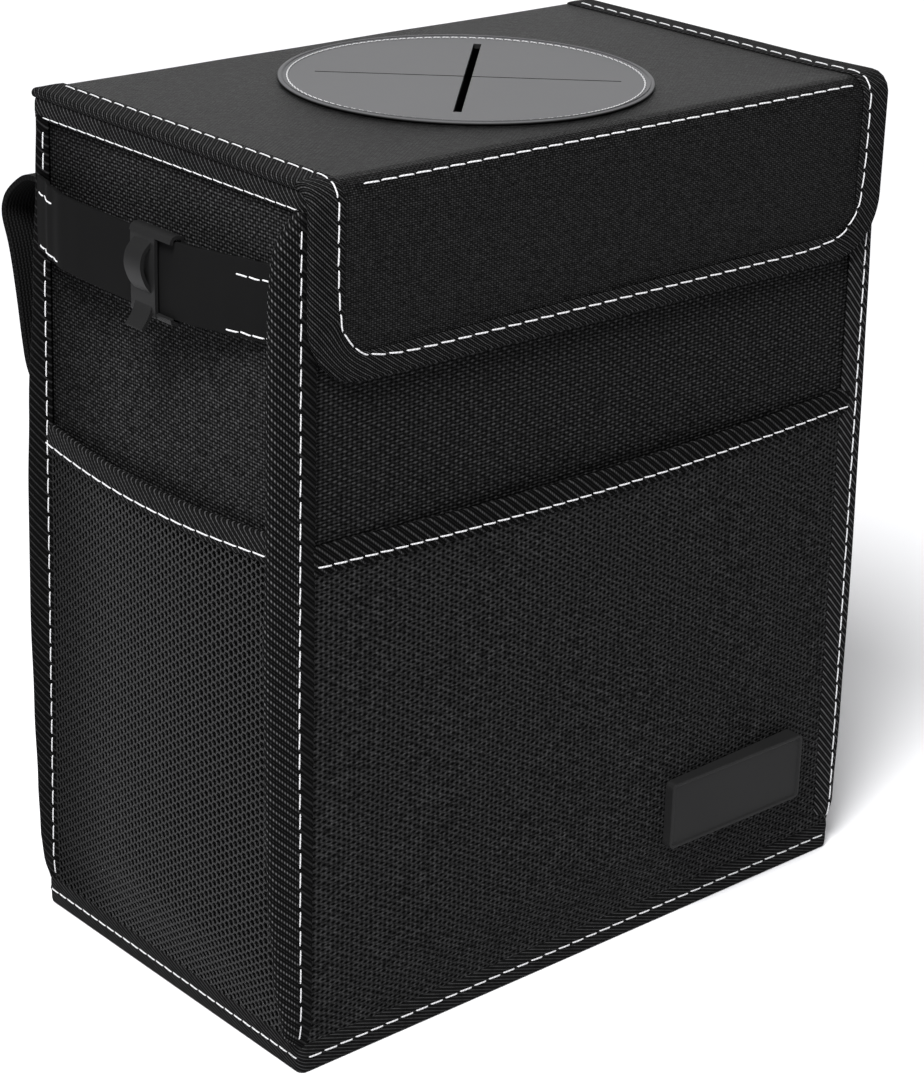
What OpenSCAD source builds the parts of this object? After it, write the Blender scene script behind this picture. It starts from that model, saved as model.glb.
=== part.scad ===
/* [Body] */
// Width over the side panels
body_w = 245; // [200:1:300]
// Depth over the front and back panels
body_d = 140; // [120:1:180]
// Height of the bound rim above the floor
body_h = 290; // [270:1:340]

/* [Cloth, boards and tape] */
// Thickness of the woven outer cloth
cloth_t = 0.8; // [0.6:0.1:1.2]
// Thickness of the stiffening boards
board_t = 1.6; // [1:0.1:2.5]
// Thickness of the waterproof liner
liner_t = 0.5; // [0.3:0.1:1]
// Thickness of the binding tape
tape_t = 0.7; // [0.5:0.1:1]
// How far the boards stop below the rim
board_drop = 4; // [2:0.5:6]

/* [Bound seams] */
// How far a bound corner seam stands out past the panels
fin_reach = 13; // [9:0.5:16]
// Tape on the front panel beside the left seam
fin_inner = 3.5; // [2:0.5:8]
// Tape on the front panel beside the right seam, which is folded back
fin_fold_inner = 7; // [4:0.5:10]
// Tape on the side panels beside the back seams
fin_back_inner = 8.4; // [5:0.2:12]
// How much a bound seam narrows at its top
fin_top_pinch = 4; // [0:0.5:6]
// How much a bound seam narrows at its foot
fin_foot_pinch = 8; // [0:0.5:9]
// Height over which a bound seam narrows
fin_run = 60; // [30:5:90]
// Height of the binding on the rim
rim_leg = 8; // [6:0.5:14]
// Height of the binding on the base edge
base_leg = 9; // [6:0.5:14]
// Width of the base binding on the underside
base_under = 11; // [6:0.5:16]
// Width of the turned-up seam inside the base binding
base_seam = 1.2; // [0.8:0.1:2]
// Height of the turned-up seam inside the base binding
base_seam_h = 7; // [4:0.5:9]
// Corner radius of the base
base_r = 5; // [3:0.5:9]

/* [Lid and flap] */
// Play between the flap and the tape of the seam behind it
flap_play = 0.3; // [0.3:0.1:8]
// How far the lid stands past each side panel
lid_side = 1.2; // [0.5:0.1:4]
// Width of the binding on the lid's sides
lid_leg = 13; // [8:0.5:16]
// Height of the flap
flap_h = 63; // [55:1:90]
// Width of the binding on the flap
flap_leg = 9; // [6:0.5:14]
// Corner radius of the flap
flap_r = 22; // [14:1:30]

/* [Slotted disc] */
// Radius of the disc
disc_r = 62; // [45:0.5:62.5]
// Thickness of the disc
disc_t = 2.2; // [1.5:0.1:4]
// Round of the disc's upper edge
disc_edge = 0.9; // [0.3:0.1:1.3]
// Sideways place of the disc
disc_x = -4; // [-20:1:20]
// How far the disc overlaps the lid round its hole
disc_lap = 9; // [6:0.5:14]
// Length of the slits
slit_l = 96; // [60:1:100]
// Width of the open slit
slit_open = 2.7; // [1:0.1:4]
// Width of the closed slit
slit_shut = 0.4; // [0.3:0.1:1]

/* [Front pocket] */
// Height of the pocket at the seams
pocket_h = 184; // [140:1:210]
// How far the pocket stands off the panel
pocket_gap = 5.4; // [4.9:0.1:9]
// Sag of the pocket's top edge
pocket_sag = 4; // [0:0.5:10]
// Height of the binding on the pocket's edge
pocket_hem = 9; // [6:0.5:14]
// Length over which the pocket comes back to the panel
pocket_run = 18; // [12:1:30]

/* [Side pockets] */
// Height of the mesh pockets at the seams
mesh_h = 183; // [140:1:200]
// How far the mesh stands off the panel
mesh_gap = 6; // [4.9:0.1:10]
// Sag of the mesh pockets' top edge
mesh_sag = 6; // [0:0.5:12]
// Height of the binding on the mesh
mesh_hem = 9; // [6:0.5:14]
// Length over which the mesh comes back to the panel
mesh_run = 16; // [12:1:30]
// Number of columns of gaps in the mesh
net_columns = 9; // [3:2:9]
// Width of the strands between the gaps
strand_w = 2.5; // [2:0.1:4]

/* [Side straps and hooks] */
// Distance of the strap's lower edge below the rim
strap_down = 47.3; // [45:0.1:65]
// Width of the strap
strap_w = 24.5; // [18:0.5:26]
// Thickness of the strap
strap_t = 1.3; // [0.8:0.1:2]
// How far the strap bows out
strap_bow = 9; // [7:0.5:14]
// Distance of the strap's rear end from the back panel
strap_back = 2.5; // [1:0.5:8]
// Length sewn down at each end of the strap
strap_sewn = 9; // [5:1:14]
// Where the front slope of the bow ends
strap_front_y = -24; // [-34:1:-20]
// Where the rear slope of the bow starts
strap_rear_y = 36; // [20:1:40]
// Thickness of the hook
hook_t = 1.4; // [1:0.1:1.6]
// Middle of the hook's plate
hook_y = -4.2; // [-6:0.1:6]
// Width of the hook's plate
plate_w = 21.6; // [18:0.1:24]
// Width of the hook's tongue
tongue_w = 12; // [8:0.5:16]
// Radius of the tongue's upper bulge
bulge_r = 5.3; // [4:0.1:6]
// Radius of the tongue's waist
waist_r = 7; // [5:0.1:9]
// Length of the tongue's straight tip
tip_l = 10; // [5:0.5:12]
// Distance of the tongue from the plate's rear edge
tongue_in = 3; // [1:0.5:6]
// Height of the lips that hold the strap
lip_h = 3; // [2:0.1:4]
// Straight part of the tongue below the upper lip
tongue_drop = 4.6; // [4:0.1:5]
// How far the bulge's centre lies behind the hook's face
bulge_in = 1.5; // [1:0.1:2]
// Height from the upper lip down to the bulge's centre
bulge_drop = 10.2; // [9.8:0.1:12]
// Angle at which the bulge passes into the waist
turn_a = 45; // [35:1:50]
// Slope of the tongue's tip
tip_a = 20; // [10:1:30]

/* [Back loops] */
// Width of the webbing loops
loop_w = 38; // [25:1:50]
// Thickness of the webbing
loop_t = 1.8; // [1.2:0.1:2.5]
// How far the loops stand out behind the back
loop_out = 31; // [15:1:35]
// Distance of the loops' upper end below the rim
loop_down = 28; // [25:1:55]
// Height of the loops from end to end
loop_h = 70; // [55:1:90]
// Length of the sewn tabs
loop_tab = 12; // [8:1:20]
// Distance of the loops from the side panels
loop_in = 6.5; // [3:0.5:30]
// Radius of the loops' upper bend
loop_r = 9; // [6:0.5:12]
// Height over which a loop turns away from its upper tab
loop_turn = 2; // [1:0.5:4]

/* [Label and fastener] */
// Width of the rubber label
label_w = 66; // [50:1:80]
// Height of the rubber label
label_h = 25.5; // [18:0.5:30]
// Thickness of the rubber label
label_t = 3.4; // [2:0.1:5]
// Middle of the label, sideways
label_x = 66; // [50:1:70]
// Middle of the label, upwards
label_z = 44.5; // [42:0.5:80]
// Width of the raised rim on the label
label_rim = 1.6; // [1:0.1:3]
// Depth of the label's face below its rim
label_sunk = 0.6; // [0.3:0.1:1]
// Width of the fastener patches under the flap
patch_w = 60; // [30:1:120]
// Height of the fastener patches
patch_h = 22; // [12:1:30]
// Height of the patches above the flap's lower edge
patch_up = 10; // [9:1:20]

/* [Clearance] */
// Play between parts that only lie together
gap = 0.3; // [0.2:0.05:0.5]

/* [Hidden] */
$fn = 64;
hw = body_w / 2;
hd = body_d / 2;
wall = cloth_t + board_t + liner_t;
floor_z = tape_t + cloth_t;
wall_top = body_h - tape_t;
fin_z0 = base_leg + gap;
fin_z1 = body_h - rim_leg - gap;
seam_steps = 8;
bow_steps = 8;
edge_steps = 12;
net_rows_max = 13;
fold_t = 2 * (cloth_t + tape_t);

lid_t = 2 * cloth_t + board_t;
lid_over = lid_t + 2 * tape_t + cloth_t + flap_play;
lid_z = body_h + gap + tape_t;
lid_top = lid_z + lid_t;
lid_hw = hw + lid_side;
flap_y = -hd - lid_over;
flap_z = lid_top - flap_h;
lid_mid_y = (hd + flap_y) / 2;
hole_r = disc_r - disc_lap;
patch_t = (lid_over - lid_t - gap) / 2;
patch_z = flap_z + patch_up;

front_span = [-hw, -hw + fin_inner, hw - fin_fold_inner, hw];
function mesh_span(y0) = [y0, y0, hd - fin_back_inner, hd];
side_y0 = -hd + 2 * cloth_t + tape_t + gap;
side_y0_right = -hd + fin_reach + gap;
strap_z = body_h - strap_down;
strap_y1 = hd - strap_back;
bow_y1 = strap_y1 - strap_sewn;
loop_top = body_h - loop_down;
lid_back_y = hd - cloth_t - gap;
lid_board_y0 = flap_y + lid_t + cloth_t;
lid_board_d = lid_back_y - cloth_t - lid_board_y0;

cloth_colour = "#1d1d1f";
tape_colour = "#151517";
board_colour = "#8c8f94";
liner_colour = "#b9bcc2";
strap_colour = "#252527";
hook_colour = "#343436";
disc_colour = "#828284";
label_colour = "#2b2b2d";

// A soft step from 0 to 1
function ease(u) = (1 - cos(180 * min(max(u, 0), 1))) / 2;

// Points of an arc
function arc(c, r, a0, a1, n) =
    [for (i = [0:n]) let (a = a0 + (a1 - a0) * i / n) c + r * [cos(a), sin(a)]];

// Turns a centre line into the outline of a ribbon of thickness t
function unit(v) = v / norm(v);
function side(a, b) = [-(b - a)[1], (b - a)[0]] / norm(b - a);
function joint(p, i) = let (m = len(p) - 1,
                            a = i == 0 ? side(p[0], p[1]) : side(p[i - 1], p[i]),
                            b = i == m ? side(p[m - 1], p[m]) : side(p[i], p[i + 1]),
                            s = unit(a + b))
    s / (s * a);
function ribbon(p, t) = concat([for (i = [0:len(p) - 1]) p[i] + joint(p, i) * t / 2],
                               [for (i = [len(p) - 1:-1:0]) p[i] - joint(p, i) * t / 2]);

// Extrudes an outline drawn in X and Z along +Y
module along_y(length) {
    translate([0, length, 0]) rotate([90, 0, 0]) linear_extrude(length) children();
}

// Extrudes an outline drawn in Y and Z along +X
module along_x(length) {
    rotate([90, 0, 90]) linear_extrude(length) children();
}

module rounded_plate(half_x, half_y, r) {
    square([2 * half_x, 2 * (half_y - r)], center = true);
    square([2 * (half_x - r), 2 * half_y], center = true);
    for (sx = [-1, 1], sy = [-1, 1])
        translate([sx * (half_x - r), sy * (half_y - r)]) circle(r);
}

// Reach of a bound seam at a height, narrower at its top and foot
function reach_at(z) = fin_reach - fin_top_pinch * (1 - ease((fin_z1 - z) / fin_run))
    - fin_foot_pinch * (1 - ease((z - fin_z0) / fin_run));
function seam_heights() = concat([for (i = [0:seam_steps]) fin_z0 + fin_run * i / seam_steps],
                                 [for (i = [seam_steps:-1:0]) fin_z1 - fin_run * i / seam_steps]);
function fin_outline(u0, inset) = concat([[u0, fin_z1], [u0, fin_z0]],
                                         [for (z = seam_heights()) [reach_at(z) - inset, z]]);

// One layer of a bound seam, drawn with the seam along +X and its face towards +Y
module fin_layer(v0, v1, u0, inset = 0) {
    translate([0, v0, 0]) along_y(v1 - v0) polygon(fin_outline(u0, inset));
}

// The turned edge of the tape that closes a bound seam
module fin_edge(v0, v1) {
    translate([0, v0, 0]) along_y(v1 - v0) difference() {
        polygon(fin_outline(0, 0));
        polygon(fin_outline(-1, tape_t));
    }
}

module fin_tape(inner) {
    fin_layer(cloth_t, cloth_t + tape_t, -inner);
    fin_layer(-2 * cloth_t - tape_t, -2 * cloth_t, 0);
    fin_edge(-2 * cloth_t - tape_t, cloth_t + tape_t);
}

module at_front_left() { translate([-hw, -hd, 0]) rotate([0, 0, 180]) children(); }
module at_back_left() { translate([-hw, hd, 0]) rotate([0, 0, 90]) children(); }
module at_back_right() { mirror([1, 0, 0]) at_back_left() children(); }
module at_front_fold() { translate([hw, -hd, 0]) mirror([1, 0, 0]) rotate([0, 0, 90]) children(); }

module front_panel() {
    color(cloth_colour) {
        translate([-hw, -hd, floor_z]) cube([body_w, cloth_t, wall_top - floor_z]);
        at_front_left() fin_layer(-cloth_t, 0, -cloth_t, tape_t);
        translate([hw - cloth_t, -hd, fin_z0])
            cube([tape_t + 3 * cloth_t, cloth_t, fin_z1 - fin_z0]);
        at_front_fold() fin_layer(tape_t + cloth_t, tape_t + 2 * cloth_t, 0, tape_t);
    }
}

module back_panel() {
    color(cloth_colour) {
        translate([-hw + cloth_t, hd - cloth_t, floor_z])
            cube([body_w - 2 * cloth_t, cloth_t, lid_top - floor_z]);
        at_back_left() fin_layer(-2 * cloth_t, -cloth_t, -cloth_t, tape_t);
        at_back_right() fin_layer(-2 * cloth_t, -cloth_t, -cloth_t, tape_t);
    }
}

module side_sheet() {
    translate([-hw, -hd + cloth_t, floor_z])
        cube([cloth_t, body_d - cloth_t, wall_top - floor_z]);
    at_back_left() fin_layer(-cloth_t, 0, -cloth_t, tape_t);
}

module left_side_panel() {
    color(cloth_colour) {
        side_sheet();
        at_front_left() fin_layer(-2 * cloth_t, -cloth_t, -cloth_t, tape_t);
    }
}

module right_side_panel() {
    color(cloth_colour) {
        mirror([1, 0, 0]) side_sheet();
        translate([hw - cloth_t, -hd + cloth_t, fin_z0])
            cube([tape_t + 2 * cloth_t, cloth_t, fin_z1 - fin_z0]);
        at_front_fold() fin_layer(tape_t, tape_t + cloth_t, cloth_t, tape_t);
    }
}

// The base cloth is a shallow tray whose edge is bound together with the walls
module base_panel() {
    color(cloth_colour) difference() {
        translate([0, 0, tape_t]) linear_extrude(base_seam_h - tape_t)
            rounded_plate(hw + cloth_t + base_seam, hd + cloth_t + base_seam, base_r - tape_t);
        translate([0, 0, floor_z]) linear_extrude(base_seam_h)
            square([body_w + 2 * cloth_t, body_d + 2 * cloth_t], center = true);
    }
}

module wall_board(w, h) {
    color(board_colour) cube([w, board_t, h]);
}

board_h = wall_top - board_drop - floor_z;

module front_board() {
    translate([-hw + cloth_t, -hd + cloth_t, floor_z]) wall_board(body_w - 2 * cloth_t, board_h);
}

module back_board() {
    translate([-hw + cloth_t, hd - cloth_t - board_t, floor_z])
        wall_board(body_w - 2 * cloth_t, board_h);
}

module left_side_board() {
    translate([-hw + cloth_t + board_t, -hd + cloth_t + board_t, floor_z])
        rotate([0, 0, 90]) wall_board(body_d - 2 * (cloth_t + board_t), board_h);
}

module right_side_board() {
    translate([hw - cloth_t, -hd + cloth_t + board_t, floor_z])
        rotate([0, 0, 90]) wall_board(body_d - 2 * (cloth_t + board_t), board_h);
}

module base_board() {
    color(board_colour) translate([-hw + cloth_t + board_t, -hd + cloth_t + board_t, floor_z])
        cube([body_w - 2 * (cloth_t + board_t), body_d - 2 * (cloth_t + board_t), board_t]);
}

// Open waterproof bag that lies against the boards
module inner_liner() {
    bag_w = body_w - 2 * (cloth_t + board_t);
    bag_d = body_d - 2 * (cloth_t + board_t);
    bag_z = floor_z + board_t;
    color(liner_colour) difference() {
        translate([-bag_w / 2, -bag_d / 2, bag_z]) cube([bag_w, bag_d, wall_top - bag_z]);
        translate([-bag_w / 2 + liner_t, -bag_d / 2 + liner_t, bag_z + liner_t])
            cube([bag_w - 2 * liner_t, bag_d - 2 * liner_t, body_h]);
    }
}

module front_left_binding() {
    color(tape_colour) at_front_left() fin_tape(fin_inner);
}

// This seam is folded back against the right panel, so its tape turns the corner
module front_right_binding() {
    color(tape_colour) {
        at_front_fold() {
            fin_layer(0, tape_t, 2 * cloth_t + gap);
            fin_layer(fold_t - tape_t, fold_t, -cloth_t - tape_t);
            fin_edge(0, fold_t);
        }
        translate([hw - fin_fold_inner, -hd - cloth_t - tape_t, fin_z0])
            cube([fin_fold_inner + fold_t, tape_t, fin_z1 - fin_z0]);
    }
}

module back_left_binding() {
    color(tape_colour) at_back_left() fin_tape(fin_back_inner);
}

module back_right_binding() {
    color(tape_colour) at_back_right() fin_tape(fin_back_inner);
}

module base_binding() {
    over = cloth_t + base_seam;
    color(tape_colour) difference() {
        linear_extrude(base_leg) rounded_plate(hw + over + tape_t, hd + over + tape_t, base_r);
        translate([0, 0, tape_t]) linear_extrude(base_leg)
            rounded_plate(hw + over, hd + over, base_r - tape_t);
        translate([0, 0, -1]) linear_extrude(base_leg)
            square([2 * (hw + over + tape_t - base_under), 2 * (hd + over + tape_t - base_under)],
                   center = true);
    }
}

// Folded tape over the top edge of the front and side walls, open at the back
module rim_binding() {
    z0 = body_h - rim_leg;
    back_y = hd - wall;
    inner = wall + tape_t;
    color(tape_colour) difference() {
        translate([-hw - tape_t, -hd - tape_t, z0])
            cube([body_w + 2 * tape_t, back_y + hd + tape_t, rim_leg]);
        translate([-hw + inner, -hd + inner, z0 - 1])
            cube([body_w - 2 * inner, body_d, rim_leg + 2]);
        difference() {
            translate([-hw, -hd, z0 - 1]) cube([body_w, body_d, rim_leg + 1 - tape_t]);
            translate([-hw + wall, -hd + wall, z0 - 2])
                cube([body_w - 2 * wall, body_d, rim_leg + 4]);
        }
    }
}

// A pocket's span lists where its sheet starts, where the bow starts and ends, and where it ends
function stand(s, p, run, rise) = rise * ease((s - p[1]) / run) * ease((p[2] - s) / run);
function stations(p, run) = concat([for (i = [0:bow_steps]) p[1] + run * i / bow_steps],
                                   [for (i = [bow_steps:-1:0]) p[2] - run * i / bow_steps]);

// Layer of a pocket seen from above, between two depths from its inner face
function layer_plan(p, run, rise, o0, o1) =
    let (free = [for (v = stations(p, run)) if (v > p[1] + 2 * gap && v < p[2] - 2 * gap) v],
         s = concat([p[1] + gap], free, [p[2] - gap]))
    concat([for (v = s) [v, stand(v, p, run, rise) + o1]],
           [for (i = [len(s) - 1:-1:0]) [s[i], max(stand(s[i], p, run, rise) + o0, 0)]]);

// Outlines of a pocket's pillow seen from above and from its end
function pouch_plan(p, run, rise, skin) =
    concat(skin > 0 ? [[p[3], 0], [p[0], 0]] : [], p[0] < p[1] && skin > 0 ? [[p[0], skin]] : [],
           [for (v = stations(p, run)) [v, stand(v, p, run, rise) + skin]],
           p[2] < p[3] && skin > 0 ? [[p[3], skin]] : []);
function pouch_end(z0, z1, run, rise, skin) =
    concat(skin > 0 ? [[0, z1], [0, floor_z], [skin, floor_z]] : [[0, z1]],
           [for (i = [0:bow_steps]) [rise * ease(i / bow_steps) + skin, z0 + run * i / bow_steps]],
           [[rise + skin, z1]]);

// Band under the sagging top edge, between two depths below it
function edge_z(s, a, b, top, sag) = top - sag * (1 - pow((2 * s - a - b) / (b - a), 2));
function edge_band(a, b, top, sag, low, high) =
    let (s = [for (i = [0:edge_steps]) a + (b - a) * i / edge_steps])
    concat([for (v = s) [v, edge_z(v, a, b, top, sag) - high]],
           [for (i = [edge_steps:-1:0]) [s[i], edge_z(s[i], a, b, top, sag) - low]]);

module pouch(span, top, run, rise, skin) {
    intersection() {
        translate([0, 0, floor_z]) linear_extrude(top) polygon(pouch_plan(span, run, rise, skin));
        translate([span[0], 0, 0]) along_x(span[3] - span[0])
            polygon(pouch_end(base_leg, top + floor_z, run, rise, skin));
    }
}

// Sheet of a pocket, standing off the plane Y = 0 towards +Y and closed at its foot
module pocket_sheet(span, top, sag, run, rise) {
    intersection() {
        difference() {
            pouch(span, top, run, rise, cloth_t);
            pouch(span, top + cloth_t, run, rise, 0);
        }
        along_y(rise + cloth_t) polygon(edge_band(span[0], span[3], top, sag, top, tape_t));
    }
}

// Tape folded over a pocket's top edge
module pocket_tape(span, top, sag, run, rise, hem) {
    over = cloth_t + tape_t;
    for (leg = [[-tape_t, 0, hem], [cloth_t, over, hem], [-tape_t, over, tape_t]])
        intersection() {
            linear_extrude(top + 1) polygon(layer_plan(span, run, rise, leg[0], leg[1]));
            along_y(rise + over) polygon(edge_band(span[0], span[3], top, sag, leg[2], 0));
        }
}

module at_front() { translate([0, -hd, 0]) mirror([0, 1, 0]) children(); }
module at_left() { translate([-hw, 0, 0]) rotate([0, 0, 90]) children(); }

module front_pocket() {
    color(cloth_colour) at_front()
        pocket_sheet(front_span, pocket_h, pocket_sag, pocket_run, pocket_gap);
}

module front_pocket_binding() {
    color(tape_colour) at_front()
        pocket_tape(front_span, pocket_h, pocket_sag, pocket_run, pocket_gap, pocket_hem);
}

// Staggered rows of six-sided gaps in the flat part of a mesh pocket
module net_gaps(span) {
    s0 = span[1] + mesh_run;
    width = span[2] - mesh_run - s0;
    z0 = base_leg + mesh_run;
    height = mesh_h - mesh_sag - mesh_hem - z0;
    cell_r = width / (1.5 * net_columns + 0.5);
    row_h = cell_r * sqrt(3);
    rows = min(floor(height / row_h - 0.5), net_rows_max);
    for (i = [0:net_columns - 1], j = [0:rows - 1])
        translate([s0 + cell_r * (1.5 * i + 1), mesh_gap - 1, z0 + row_h * (j + 0.5 + 0.5 * (i % 2))])
            rotate([-90, 0, 0]) cylinder(r = cell_r - strand_w / sqrt(3), h = cloth_t + 2, $fn = 6);
}

module mesh_sheet(y0) {
    color(cloth_colour) at_left() difference() {
        pocket_sheet(mesh_span(y0), mesh_h, mesh_sag, mesh_run, mesh_gap);
        net_gaps(mesh_span(y0));
    }
}

module mesh_tape(y0) {
    color(tape_colour) at_left()
        pocket_tape(mesh_span(y0), mesh_h, mesh_sag, mesh_run, mesh_gap, mesh_hem);
}

module left_mesh_pocket() { mesh_sheet(side_y0); }
module left_mesh_binding() { mesh_tape(side_y0); }
module right_mesh_pocket() { mirror([1, 0, 0]) mesh_sheet(side_y0_right); }
module right_mesh_binding() { mirror([1, 0, 0]) mesh_tape(side_y0_right); }

// Inner face of a side strap: flat at both ends, bowed between, and lifted on to the seam tape behind
function strap_off(y, y0) =
    let (a = y0 + strap_sewn,
         front = ease((y - a) / (strap_front_y - a)),
         rear = ease((bow_y1 - y) / (bow_y1 - strap_rear_y)))
    strap_bow * front * rear + (cloth_t + tape_t) * (1 - rear);
function strap_stations(y0) =
    let (a = y0 + strap_sewn)
    concat([y0], [for (i = [0:bow_steps]) a + (strap_front_y - a) * i / bow_steps],
           [for (i = [0:bow_steps]) strap_rear_y + (bow_y1 - strap_rear_y) * i / bow_steps],
           [strap_y1]);

module side_strap(y0) {
    s = strap_stations(y0);
    outer = [for (v = s) [v, strap_off(v, y0) + strap_t]];
    inner = [for (i = [len(s) - 1:-1:0]) [s[i], strap_off(s[i], y0)]];
    color(strap_colour) translate([0, 0, strap_z]) at_left() linear_extrude(strap_w)
        polygon(concat(outer, inner));
}

module left_strap() { side_strap(side_y0); }
module right_strap() { mirror([1, 0, 0]) side_strap(side_y0_right); }

// Moulded hook: a plate behind the strap with a lip at each edge, and an S-shaped tongue in front
module side_hook() {
    back = strap_bow - gap - hook_t / 2;
    front = strap_bow + strap_t + gap + hook_t / 2;
    low = strap_z - gap - hook_t / 2;
    high = strap_z + strap_w + gap + hook_t / 2;
    bulge = [front - bulge_in, high - bulge_drop];
    turn = bulge + (bulge_r + waist_r) * [cos(turn_a), -sin(turn_a)];
    tip = turn + waist_r * [-cos(tip_a), -sin(tip_a)];
    plate = [[front, low + lip_h], [front, low], [back, low], [back, high], [front, high],
             [front, high - lip_h]];
    tongue = concat([[front, high], [front, high - tongue_drop]], arc(bulge, bulge_r, 60, -turn_a, 10),
                    arc(turn, waist_r, 188 - turn_a, 180 + tip_a, 7),
                    [tip + tip_l * [sin(tip_a), -cos(tip_a)]]);
    color(hook_colour) at_left() {
        translate([hook_y - plate_w / 2, 0, 0]) along_x(plate_w) polygon(ribbon(plate, hook_t));
        translate([hook_y + plate_w / 2 - tongue_w - tongue_in, 0, 0]) along_x(tongue_w)
            polygon(ribbon(tongue, hook_t));
    }
}

module left_hook() { side_hook(); }
module right_hook() { mirror([1, 0, 0]) side_hook(); }

// Webbing loop on the back, sewn down at both tabs
module webbing_loop() {
    near = hd + loop_t / 2;
    bend = [near + loop_out - loop_r, loop_top - loop_turn - loop_r];
    route = concat([[near, loop_top + loop_tab], [near, loop_top + loop_turn],
                    [near + loop_turn + 1, loop_top]],
                   arc(bend, loop_r, 86, -16, 8),
                   [[near, loop_top - loop_h], [near, loop_top - loop_h - loop_tab]]);
    color(tape_colour) along_x(loop_w) polygon(ribbon(route, loop_t));
}

module back_left_loop() { translate([-hw + loop_in, 0, 0]) webbing_loop(); }
module back_right_loop() { mirror([1, 0, 0]) back_left_loop(); }

// Bare rubber label with a raised rim
module front_label() {
    face = cloth_t + pocket_gap;
    color(label_colour) at_front() translate([label_x, face, label_z]) difference() {
        translate([-label_w / 2, 0, -label_h / 2]) cube([label_w, label_t, label_h]);
        translate([-label_w / 2 + label_rim, label_t - label_sunk, -label_h / 2 + label_rim])
            cube([label_w - 2 * label_rim, label_sunk + 1, label_h - 2 * label_rim]);
    }
}

module loop_fastener() {
    color(tape_colour) translate([-patch_w / 2, -hd - patch_t, patch_z])
        cube([patch_w, patch_t, patch_h]);
}

module hook_fastener() {
    color(tape_colour) translate([-patch_w / 2, flap_y + lid_t, patch_z])
        cube([patch_w, patch_t, patch_h]);
}

// Cloth sleeve of the lid, mitred at the fold where the flap joins
module lid_cover() {
    color(cloth_colour) difference() {
        translate([-lid_hw + tape_t, 0, 0]) along_x(2 * (lid_hw - tape_t))
            polygon([[lid_back_y, lid_z], [lid_back_y, lid_top], [flap_y + gap, lid_top],
                     [flap_y + lid_t + gap, lid_z]]);
        translate([-lid_hw + 2 * tape_t, lid_board_y0, lid_z + cloth_t])
            cube([2 * (lid_hw - 2 * tape_t), lid_board_d, board_t]);
        lid_hole();
    }
}

module lid_hole() {
    translate([disc_x, lid_mid_y, lid_z - 1]) cylinder(r = hole_r, h = lid_t + 2);
}

module lid_board() {
    color(board_colour) difference() {
        translate([-lid_hw + 2 * tape_t, lid_board_y0, lid_z + cloth_t])
            cube([2 * (lid_hw - 2 * tape_t), lid_board_d, board_t]);
        lid_hole();
    }
}

// Tape folded over one side edge of the lid
module lid_edge_tape() {
    color(tape_colour) translate([-lid_hw, 0, 0]) difference() {
        along_x(lid_leg) polygon([[lid_back_y, lid_z - tape_t], [lid_back_y, lid_top + tape_t],
                                  [flap_y + gap, lid_top + tape_t], [flap_y + gap, lid_top],
                                  [flap_y + lid_t + tape_t + gap, lid_z - tape_t]]);
        translate([tape_t, flap_y - 1, lid_z]) cube([lid_leg, body_d + 2 * lid_over, lid_t]);
    }
}

module lid_left_binding() { lid_edge_tape(); }
module lid_right_binding() { mirror([1, 0, 0]) lid_edge_tape(); }

module slit(width) {
    translate([-slit_l / 2, -width / 2, -1]) cube([slit_l, width, disc_t + 2]);
}

// Rubber disc sewn over the hole in the lid, cut by two crossing slits
module slot_disc() {
    color(disc_colour) translate([disc_x, lid_mid_y, lid_top]) difference() {
        rotate_extrude() {
            square([disc_r, disc_t - disc_edge]);
            square([disc_r - disc_edge, disc_t]);
            translate([disc_r - disc_edge, disc_t - disc_edge]) circle(disc_edge);
        }
        rotate([0, 0, 45]) slit(slit_open);
        rotate([0, 0, -45]) slit(slit_shut);
    }
}

// Outline of the flap with round lower corners, inset from its bound edge
module flap_outline(inset, top) {
    w = lid_hw - inset;
    r = flap_r - inset;
    z0 = flap_z + inset;
    translate([-w, z0 + r]) square([2 * w, top - z0 - r]);
    translate([-w + r, z0]) square([2 * (w - r), r]);
    for (sx = [-1, 1]) translate([sx * (w - r), z0 + r]) circle(r);
}

module flap_slab(y0, y1, inset, top) {
    translate([0, y0, 0]) along_y(y1 - y0) flap_outline(inset, top);
}

// Keeps what lies below the mitre at the fold
module below_mitre() {
    reach = lid_t + 2 * tape_t;
    intersection() {
        children();
        translate([-lid_hw - 1, 0, 0]) along_x(2 * lid_hw + 2)
            polygon([[flap_y - reach, flap_z - 1], [flap_y - reach, lid_top - gap],
                     [flap_y, lid_top - gap], [flap_y + reach, lid_top - gap - reach],
                     [flap_y + reach, flap_z - 1]]);
    }
}

module flap_cover() {
    color(cloth_colour) difference() {
        below_mitre() flap_slab(flap_y, flap_y + lid_t, tape_t, lid_top);
        flap_slab(flap_y + cloth_t, flap_y + cloth_t + board_t, 2 * tape_t, lid_top - lid_t - gap);
    }
}

module flap_board() {
    color(board_colour)
        flap_slab(flap_y + cloth_t, flap_y + cloth_t + board_t, 2 * tape_t, lid_top - lid_t - gap);
}

module flap_binding() {
    color(tape_colour) below_mitre() difference() {
        flap_slab(flap_y - tape_t, flap_y + lid_t + tape_t, 0, lid_top);
        flap_slab(flap_y, flap_y + lid_t, tape_t, lid_top + 1);
        flap_slab(flap_y - 2 * tape_t, flap_y + lid_t + 2 * tape_t, flap_leg, lid_top + 1);
    }
}

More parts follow.
